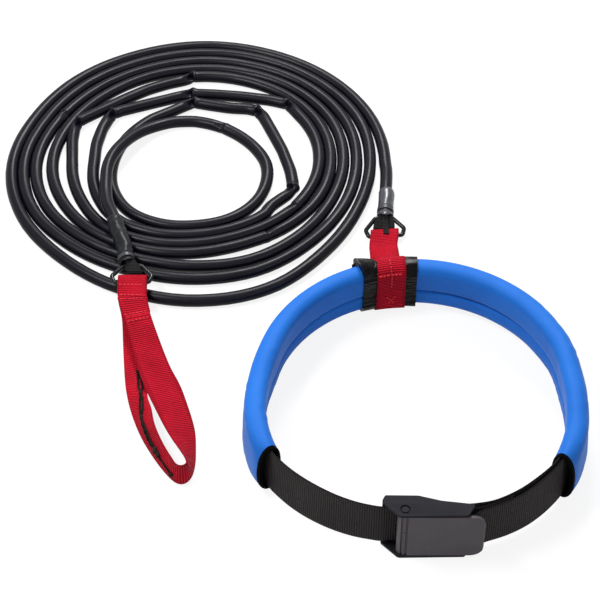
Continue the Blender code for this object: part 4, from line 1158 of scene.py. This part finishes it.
# How far the wrap and the band lie off the pad, and the band's outer face
WRAP_GAP = 0.5
BAND_GAP = WRAP_GAP + WRAP_THICKNESS + 0.3
BAND_FACE = BAND_GAP + BAND_THICKNESS
BAND_SLACK = 3.6
FLAP_THICKNESS = 1.0
# The wrap's loose flap: off the belt's middle, outward and up
FLAP = ((13.4, 6.0), (14.6, 10.0), (16.0, 14.0), (17.0, 18.0))
STRAP_WIDTH = 29.0
STRAP_THICKNESS = 1.5
STITCH_LENGTH = 3.2
STITCH_GAP = 0.7
STITCH_RADIUS = 0.55
STITCH_STAND = 0.9


def half_turn(width):
    """Half of a width round the back of the belt, in degrees."""
    return math.degrees(width / 2.0 / PAD_ARC_RADIUS)


def pushed(angle, outward, rise, push):
    """A point of a band's section, pushed off the pad but never down."""
    size = math.hypot(outward, rise * 0.3)
    lift = push * 0.3 / size * clamped((rise + 24.0) / 8.0)
    return belt_point(angle, outward * (1.0 + push / size), rise * (1.0 + lift))


def slack(share, rise, outward):
    """0 to 1 where the bands stand off the pad: low on its inner face, more to the right."""
    return clamped((-8.0 - rise) / 12.0) * clamped((2.0 - outward) / 9.0) * (0.35 + 0.65 * share)


def band_loops(width, extra, gap, thickness, frill):
    """Two skins of a band round the pad, inner then outer, as rows across the band from left to right."""
    layers = []
    for reach in (gap, gap + thickness):
        section = pad_section(PAD_HALF_THICKNESS + reach, PAD_HALF_HEIGHT + reach, PAD_CORNER + reach)
        rows = []
        for step in range(BAND_STEPS + 1):
            share = step / BAND_STEPS
            angle = SLIDER_ANGLE + half_turn(width) * (1.0 - 2.0 * share) + extra * (1.0 - share)
            row = []
            for outward, rise in section:
                row.append(pushed(angle, outward, rise, frill(share, rise, outward) if layers else 0.0))
            rows.append(row)
        layers.append(rows)
    return layers[0] + layers[1][::-1]


def make_wrap(material):
    """Satin ribbon wrapped round the pad; its loose end stands off in a small flap."""

    def frill(share, rise, outward):
        edge = abs(2.0 * share - 1.0) ** 6
        lumps = noise_at(share * 3.0, rise * 0.12, outward * 0.2)
        high = clamped((rise - 4.0) / 16.0) * clamped((outward + 13.0) / 8.0)
        loose = 6.0 * high * max(0.0, 1.0 - share / 0.30) ** 0.8 + 0.8 * high
        sag = BAND_SLACK * slack(share, rise, outward)
        return lumps * 0.9 * (1.0 - edge) - 0.25 * edge + loose + sag

    loops = band_loops(WRAP_WIDTH, WRAP_SPREAD, WRAP_GAP, WRAP_THICKNESS, frill)
    obj = skin("slider_wrap_cloth", loops, material, closed=True, angle=60.0)
    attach(obj, "slider")
    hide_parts("slider_wrap")
    edge = SLIDER_ANGLE + half_turn(WRAP_WIDTH)
    flap = []
    for out, rise in FLAP:
        flap.append((belt_point(edge + 1.7, out, rise), belt_point(edge - 3.4, out - 0.3, rise)))
    obj = strip("slider_flap", resampled(flap, 3), FLAP_THICKNESS, material)
    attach(obj, "slider")


def make_band(material):
    """Red webbing round the wrap, under the tab's ends."""

    def frill(share, rise, outward):
        edge = abs(2.0 * share - 1.0) ** 8
        return BAND_SLACK * slack(0.2 + 0.6 * share, rise, outward) - 0.3 * edge

    loops = band_loops(BAND_WIDTH, 0.0, BAND_GAP, BAND_THICKNESS, frill)
    uvs = []
    for i, row in enumerate(loops):
        step = min(i, len(loops) - 1 - i)
        across = BAND_WIDTH * MM * (0.5 - step / BAND_STEPS)
        uvs.append([(across, around) for around in lengths_along(row)])
    obj = skin("slider_band_webbing", loops, material, uvs, closed=True, angle=60.0)
    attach(obj, "slider")
    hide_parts("slider_band")


def band_face(share, travel):
    """A point just off the red band's face, travel in mm from the middle of its top down its inner side."""
    corner = PAD_CORNER + BAND_FACE
    flat, high = PAD_HALF_THICKNESS - PAD_CORNER, PAD_HALF_HEIGHT - PAD_CORNER
    reach = corner + STITCH_STAND
    turn = (travel - flat) / corner
    if turn < 0.0:
        outward, rise = -travel, high + reach
    elif turn < math.pi / 2.0:
        outward, rise = -flat - reach * math.sin(turn), high + reach * math.cos(turn)
    else:
        outward, rise = -flat - reach, high - (turn - math.pi / 2.0) * corner
    angle = SLIDER_ANGLE + half_turn(BAND_WIDTH) * (1.0 - 2.0 * share)
    return pushed(angle, outward, rise, BAND_SLACK * slack(0.2 + 0.6 * share, rise, outward))


# Sewing on the band, each run between two places: share across the band, and travel down it
BAND_SEWING = (
    ((0.50, -2.0), (0.50, 33.0)), ((0.05, 14.5), (0.95, 14.5)), ((0.34, 45.0), (0.66, 55.0)),
    ((0.66, 45.0), (0.34, 55.0)),
)


def make_slider_stitches(thread):
    """Sewing that holds the band's ends: a line down the middle, one across it and a cross below."""
    runs = []
    for (share, travel), (last_share, last_travel) in BAND_SEWING:
        runs.append([
            band_face(blended(share, last_share, step / 12), blended(travel, last_travel, step / 12))
            for step in range(13)
        ])
    make_stitches("slider_stitches", "slider", runs, thread)


def bar_point(spec, along):
    return ring_frame(spec) @ (Vector((along, -RING_DEPTH, 0.0)) * MM)


# How far a strap's middle lies off the middle of the ring's bar
STRAP_WRAP = RING_WIRE_RADIUS + 0.5 + STRAP_THICKNESS / 2.0


def strap_round_bar(bar, across, back, beyond):
    """Rows of a strap's fold round a bar: in over the top, round the far side, and out below."""
    reach = across * STRAP_WIDTH / 2.0 * MM
    rows = []
    for step in range(11):
        turn = math.radians(90.0 - 18.0 * step)
        away = beyond * max(0.0, math.cos(turn)) ** 0.5 + STRAP_WRAP * math.cos(turn)
        centre = bar + (UP * STRAP_WRAP * math.sin(turn) - back * away) * MM
        rows.append((centre - reach, centre + reach))
    return rows


# The tab's two ends on the band: how far off its face, and height over the floor
TAB_UPPER = ((0.0, 45.0), (0.0, 36.0), (1.2, 30.5), (5.0, 26.5))
TAB_LOWER = ((0.0, 8.0), (0.0, 16.0), (1.2, 21.0), (5.0, 23.4))
TAB_END_WIDTH = 30.6
# Where the two layers of the tab meet: how far in from the ring's bar, and height over the floor
TAB_MEET = 16.0
TAB_MEET_HEIGHT = 7.4
# The tab's shift to the right at the band, and on the ring's bar
TAB_SHIFT = (2.2, -1.2)


def make_tab(material):
    """Red tab: sewn to the band above and below, and folded round the bar of the belt's ring."""
    across_ring = level(BELT_RING["yaw"])
    out, across_band = level(SLIDER_ANGLE), level(SLIDER_ANGLE - 90.0)
    bar = bar_point(BELT_RING, TAB_SHIFT[1])
    face = PAD_HALF_THICKNESS + BAND_FACE + 0.3 + STRAP_THICKNESS / 2.0
    layer = STRAP_THICKNESS / 2.0 + 0.15
    root = belt_point(SLIDER_ANGLE, 0.0, 0.0)

    def at_band(off, height):
        rise = height - BELT_MIDDLE_HEIGHT
        centre = root + out * (face + off - rise * BELT_LEAN) * MM
        centre.z = height * MM
        return centre

    def station(centre, share):
        way = across_band.lerp(across_ring, share).normalized()
        across = way * (blended(TAB_END_WIDTH, STRAP_WIDTH, share) / 2.0 * MM)
        centre = centre + way * blended(*TAB_SHIFT, share) * MM
        return centre - across, centre + across

    upper = [at_band(*stop) for stop in TAB_UPPER]
    lower = [at_band(*stop) for stop in TAB_LOWER]
    back = upper[-1] - bar
    back.z = 0.0
    back.normalize()
    meet = bar + back * TAB_MEET * MM
    spread = (upper[-1].z - lower[-1].z) / 2.0 - layer * MM
    slopes = []
    for ends, way in ((upper, 1.0), (lower, -1.0)):
        meet.z = (TAB_MEET_HEIGHT + way * layer) * MM
        slope = []
        for share in (0.2, 0.4, 0.6, 0.8, 1.0):
            centre = ends[-1].lerp(meet, share)
            centre.z -= way * spread * min(share * 3.0, 1.0) * (1.0 - share)
            slope.append(station(centre, share))
        slopes.append([station(point, 0.0) for point in ends] + slope)
    rows = slopes[0] + strap_round_bar(bar, across_ring, back, 4.8) + slopes[1][::-1]
    obj = strip("slider_tab_webbing", resampled(rows, 3), STRAP_THICKNESS, material)
    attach(obj, "slider")
    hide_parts("slider_tab")


# The hand loop

# The strap's two edges at stations along it, from the ring round the loop and back
HAND_LOOP_LEGS = [
    ((-180.4, -12.0, 21.0), (-151.4, -12.0, 21.0)),
    ((-174.3, -32.9, 17.6), (-149.2, -25.0, 15.4)),
    ((-164.5, -66.0, 11.5), (-139.2, -53.0, 5.6)),
    ((-155.4, -100.2, 8.6), (-126.6, -88.0, 2.4)),
    ((-148.2, -122.0, 9.0), (-117.0, -109.0, 1.6)),
    ((-140.2, -141.9, 9.0), (-110.4, -127.0, 1.2)),
    ((-124.6, -178.6, 12.0), (-99.3, -167.0, 1.1)),
    ((-111.0, -209.5, 23.6), (-97.2, -197.0, 1.1)),
    ((-105.0, -223.5, 28.8), (-98.0, -215.0, 1.1)),
    ((-103.5, -230.0, 29.7), (-101.3, -226.8, 1.1)),
    ((-107.3, -233.2, 29.8), (-107.3, -232.4, 1.1)),
    ((-112.6, -231.8, 29.8), (-115.4, -230.2, 1.1)),
    ((-117.6, -223.4, 29.0), (-126.6, -217.0, 1.1)),
    ((-127.0, -203.6, 27.0), (-139.6, -196.0, 1.1)),
    ((-135.4, -180.0, 24.6), (-150.6, -174.0, 1.1)),
    ((-139.8, -156.0, 18.6), (-159.8, -149.0, 1.1)),
    ((-145.0, -133.0, 8.4), (-165.4, -127.0, 1.1)),
    ((-146.0, -112.0, 2.2), (-168.8, -106.0, 1.1)),
    ((-147.5, -74.0, 2.4), (-172.6, -68.0, 1.4)),
    ((-149.8, -38.0, 6.6), (-175.6, -33.0, 6.0)),
    ((-150.6, -20.5, 14.6), (-179.2, -19.0, 14.8)),
    ((-151.4, -11.5, 17.9), (-180.4, -11.5, 17.9)),
]
# The sewn lap on the loop's front leg: place along it, how far it stands off, and width as a share
HAND_LAP = [
    (-3.0, 0.9, 1.00), (0.0, 1.5, 1.00), (6.0, 1.6, 1.00), (18.0, 1.6, 1.00), (19.6, 1.1, 1.01),
    (20.4, 1.2, 1.04), (22.0, 2.0, 1.06), (30.0, 1.9, 1.06), (38.0, 2.0, 1.05), (39.6, 1.2, 1.03),
    (41.0, 1.5, 1.0), (47.0, 1.4, 1.0), (49.0, 0.9, 0.99),
]
# The rows of the lap that are sewn through
LAP_SEWING = (2, 3, 6, 8, 11)
# A thin cord tied along the loop's inner face: two strands, then one tail
CORD_STRANDS = [
    [
        (-157.4, -95.8, 2.8), (-156.0, -106.8, 3.2), (-154.8, -118.0, 4.3), (-152.5, -127.1, 6.7),
        (-152.1, -139.4, 9.4), (-151.0, -152.7, 10.7), (-149.7, -161.3, 11.1), (-148.2, -169.2, 11.1),
        (-145.8, -177.5, 11.1), (-142.3, -186.8, 10.8), (-138.3, -195.4, 10.9), (-133.2, -204.4, 12.2),
    ],
    [
        (-157.1, -95.8, 2.8), (-153.6, -105.6, 3.1), (-151.3, -116.6, 4.2), (-151.4, -127.3, 6.9),
        (-149.2, -140.9, 11.2), (-148.6, -154.0, 13.0), (-149.1, -161.7, 11.7), (-146.3, -171.3, 12.8),
        (-143.2, -180.4, 13.7), (-140.0, -189.1, 13.6), (-136.8, -196.5, 13.7), (-133.2, -204.4, 12.8),
    ],
    [
        (-133.2, -204.4, 12.6), (-128.9, -212.8, 12.3), (-125.0, -219.3, 12.3), (-121.2, -225.3, 11.5),
        (-118.3, -229.1, 10.3),
    ],
]
CORD_RADIUS = 1.0
# Place and radius of each knot
CORD_KNOTS = [((-152.2, -127.4, 7.2), 2.3), ((-149.4, -161.5, 11.7), 2.3), ((-134.0, -203.0, 13.8), 3.6),
              ((-131.0, -207.6, 13.6), 3.4), ((-118.5, -228.8, 10.8), 2.6)]


def make_hand_loop(material):
    """Hand loop: one webbing folded round the ring's bar, run out, turned on edge and brought back."""
    back = Vector((0.0, -1.0, 0.0))
    fold = strap_round_bar(bar_point(HANDLE_RING, 1.1), level(0.0), back, 4.6)
    tuck = [(a + back * 12.0 * MM, b + back * 12.0 * MM) for a, b in fold[-1:]]
    legs = [(place(*a), place(*b)) for a, b in HAND_LOOP_LEGS]
    obj = strip("hand_loop_webbing", resampled(tuck + fold[::-1] + legs, 5), STRAP_THICKNESS, material)
    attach(obj, "hand_loop")
    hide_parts("hand_loop")
    return resampled(fold[:1] + legs[:4], 16)


def lap_rows(front):
    """Rows of the sewn lap, and the way off the strap at each."""
    middles = [(a + b) / 2.0 for a, b in front]
    lengths = [length / MM for length in lengths_along(middles)]
    rows, ups = [], []
    for distance, stand, wide in HAND_LAP:
        index = min(range(len(lengths)), key=lambda i: abs(lengths[i] - distance))
        index = min(max(index, 1), len(front) - 2)
        left, right = front[index]
        along = (middles[index + 1] - middles[index - 1]).normalized()
        up = (right - left).cross(along).normalized()
        if up.z < 0.0:
            up = -up
        middle = middles[index] + (along * (distance - lengths[index]) + up * stand) * MM
        rows.append((middle + (left - middle) * wide, middle + (right - middle) * wide))
        ups.append(up)
    return rows, ups


def make_lap(front, material, thread):
    rows, ups = lap_rows(front)
    obj = strip("hand_loop_lap", resampled(rows, 3), STRAP_THICKNESS, material)
    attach(obj, "hand_loop")
    runs = []
    for index in LAP_SEWING:
        left, right = rows[index]
        lift = ups[index] * (STRAP_THICKNESS / 2.0 + 0.25) * MM
        runs.append([left.lerp(right, share) + lift for share in (0.06, 0.3, 0.5, 0.7, 0.94)])
    make_stitches("hand_loop_stitches", "hand_loop", runs, thread)


def cut_stitches(run):
    """The points of each stitch along a run of sewing, a gap between each two."""
    path = smooth_route(run, 0.5 * MM)
    lengths = [length / MM for length in lengths_along(path)]
    start = 0.0
    while start < lengths[-1] - STITCH_LENGTH:
        stitch = [p for at, p in zip(lengths, path[:-1]) if start <= at <= start + STITCH_LENGTH]
        start += STITCH_LENGTH + STITCH_GAP
        if len(stitch) > 2:
            yield stitch


def make_stitches(name, body, runs, material):
    """Rows of sewing, in short rounded stitches."""
    sides = 6
    vertices, faces = [], []
    for stitch in [stitch for run in runs for stitch in cut_stitches(run)]:
        way = (stitch[-1] - stitch[0]).normalized()
        side, top = sideways(way, UP if abs(way.z) < 0.8 else Vector((0.0, 1.0, 0.0)))
        first = len(vertices)
        for i, point in enumerate(stitch):
            radius = STITCH_RADIUS * (0.45 if i in (0, len(stitch) - 1) else 1.0) * MM
            vertices += [point + (side * math.cos(t) + top * math.sin(t)) * radius for t in circle(sides)]
            if i:
                a, b = first + (i - 1) * sides, first + i * sides
                faces += [(a + k, a + (k + 1) % sides, b + (k + 1) % sides, b + k) for k in range(sides)]
        faces.append(tuple(first + k for k in range(sides))[::-1])
        faces.append(tuple(len(vertices) - sides + k for k in range(sides)))
    obj = mesh_object(name, vertices, faces, material)
    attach(obj, body)


def make_strand(number, points, material):
    """One strand of the thin cord on the hand loop, laid of two yarns."""
    path = smooth_route([place(*p) for p in points], 1.2 * MM)

    def section(i, turn):
        reach = CORD_RADIUS * (1.0 + 0.16 * math.cos(2.0 * turn - i * 0.9 + number))
        return reach * math.cos(turn), reach * math.sin(turn)

    strand = sweep("hand_loop_cord_" + str(number + 1), path, section, material, sides=10)
    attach(strand, "hand_loop")


def make_knot(number, where, radius, material):
    """A knot of the thin cord: a lump with a twist."""
    loops = []
    for row in range(13):
        tilt = math.pi * row / 12
        ring = []
        for turn in circle(20):
            twist = 1.0 + 0.14 * math.sin(3.0 * turn + tilt * 4.0 + number)
            reach = max(radius * math.sin(tilt) * twist, 0.02)
            x, y = reach * math.cos(turn) * 0.8, reach * math.sin(turn) * 1.15
            ring.append(place(*where) + Vector((x, y, radius * 0.75 * math.cos(tilt))) * MM)
        loops.append(ring)
    knot = skin("hand_loop_knot_" + str(number + 1), loops, material, angle=60.0)
    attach(knot, "hand_loop")


def refinish(node, material):
    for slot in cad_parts[node].material_slots:
        slot.material = material


make_camera()
make_stage()

tube_rubber = rubber("tube_rubber", (0.0008, 0.0008, 0.003), (0.003, 0.003, 0.007), (0.21, 0.46), 0.13)
# The belt's sleeve is the same rubber as the handle's, its colours painted lighter as a painted reflection
# of the lamp on it.
belt_sleeve_painted_highlight = rubber("belt_sleeve_painted_highlight", (0.012, 0.013, 0.017), (0.060, 0.064, 0.078), (0.22, 0.38), 0.5)
handle_sleeve = rubber("handle_sleeve", (0.002, 0.002, 0.003), (0.010, 0.011, 0.014), (0.28, 0.46), 0.14)
tie_nylon = moulded("tie_nylon", (0.012, 0.012, 0.013), (0.026, 0.026, 0.028), (0.30, 0.45))
ring_black = moulded("ring_black", (0.002, 0.002, 0.003), (0.005, 0.005, 0.006), (0.10, 0.22), 0.2, 900.0)
black_tape = webbing("black_tape", (0.004, 0.004, 0.004), (0.030, 0.028, 0.028), 0.0016, 0.012)
black_webbing = webbing("black_webbing", (0.003, 0.003, 0.003), (0.062, 0.052, 0.053), 0.0022, 0.0508)
red_webbing = webbing("red_webbing", (0.13, 0.0006, 0.005), (0.80, 0.015, 0.040), 0.0023, 0.029, 0.7, 0.05)
red_thread = webbing("red_thread", (0.50, 0.014, 0.024), (0.88, 0.080, 0.090), 0.0011, 1.0, 0.6)
dark_cord = webbing("dark_cord", (0.006, 0.005, 0.005), (0.030, 0.024, 0.020), 0.0016, 1.0, 0.8)
blue_foam = foam_skin("blue_foam", (0.004, 0.102, 0.455), (0.010, 0.155, 0.595))
# The pad's bore, coloured near black.
near_black_bore = fuzzy_fabric("near_black_bore", (0.001, 0.001, 0.001), (0.003, 0.003, 0.003))
pitch_black, near_black = (0.0005, 0.0005, 0.0005), (0.003, 0.003, 0.003)
black_binding = webbing("black_binding", pitch_black, near_black, 0.0014, 1.0, 0.9, 0.04)
black_satin = satin("black_satin", (0.0005, 0.0005, 0.0005), (0.005, 0.004, 0.005))
lever_plastic = moulded("lever_plastic", (0.040, 0.035, 0.041), (0.054, 0.047, 0.055), (0.38, 0.50), 0.16)
frame_plastic = moulded("frame_plastic", (0.004, 0.004, 0.006), (0.009, 0.008, 0.012), (0.40, 0.55), 0.05)

make_tube(tube_rubber)
handle_bends = [(-176.0, 46.0, 21.9), (-180.3, 62.0, 21.9), (-186.0, 78.0, 21.9)]
ends = (
    ("belt", BELT_END, [(90.3, 140.0, 8.75)], 0.25, 6.6, -0.6, 1.38, belt_sleeve_painted_highlight),
    ("handle", HANDLE_END, handle_bends, 0.7, 2.4, 4.0, 1.0, handle_sleeve),
)
for side, spec, bends, lump, lip, shift, spread, sleeve_rubber in ends:
    axis, mouth = make_sleeve(side, spec, bends, lump, lip, sleeve_rubber)
    make_clamp(side, axis, mouth, tie_nylon)
    make_tape(side, spec, shift, spread, black_tape)
    refinish("anchor_plug_" + side, tie_nylon)
make_tape_tail(BELT_END, black_tape)
make_ring("ring_belt_wire", "ring_belt", "belt_ring", BELT_RING, ring_black)
make_ring("ring_handle_wire", "ring_handle", "hand_ring", HANDLE_RING, ring_black)
make_pad(blue_foam, near_black_bore)
make_binding("mouth_binding_left", "pad_binding_left", False, black_binding)
make_binding("mouth_binding_right", "pad_binding_right", True, black_binding)
make_belt_webbing(black_webbing)
make_wrap(black_satin)
make_band(red_webbing)
make_slider_stitches(red_thread)
make_tab(red_webbing)
make_lap(make_hand_loop(red_webbing), red_webbing, red_thread)
for number, points in enumerate(CORD_STRANDS):
    make_strand(number, points, dark_cord)
for number, (where, radius) in enumerate(CORD_KNOTS):
    make_knot(number, where, radius, dark_cord)
refinish("buckle_lever", lever_plastic)
refinish("buckle_frame", frame_plastic)
refinish("buckle_pin", frame_plastic)
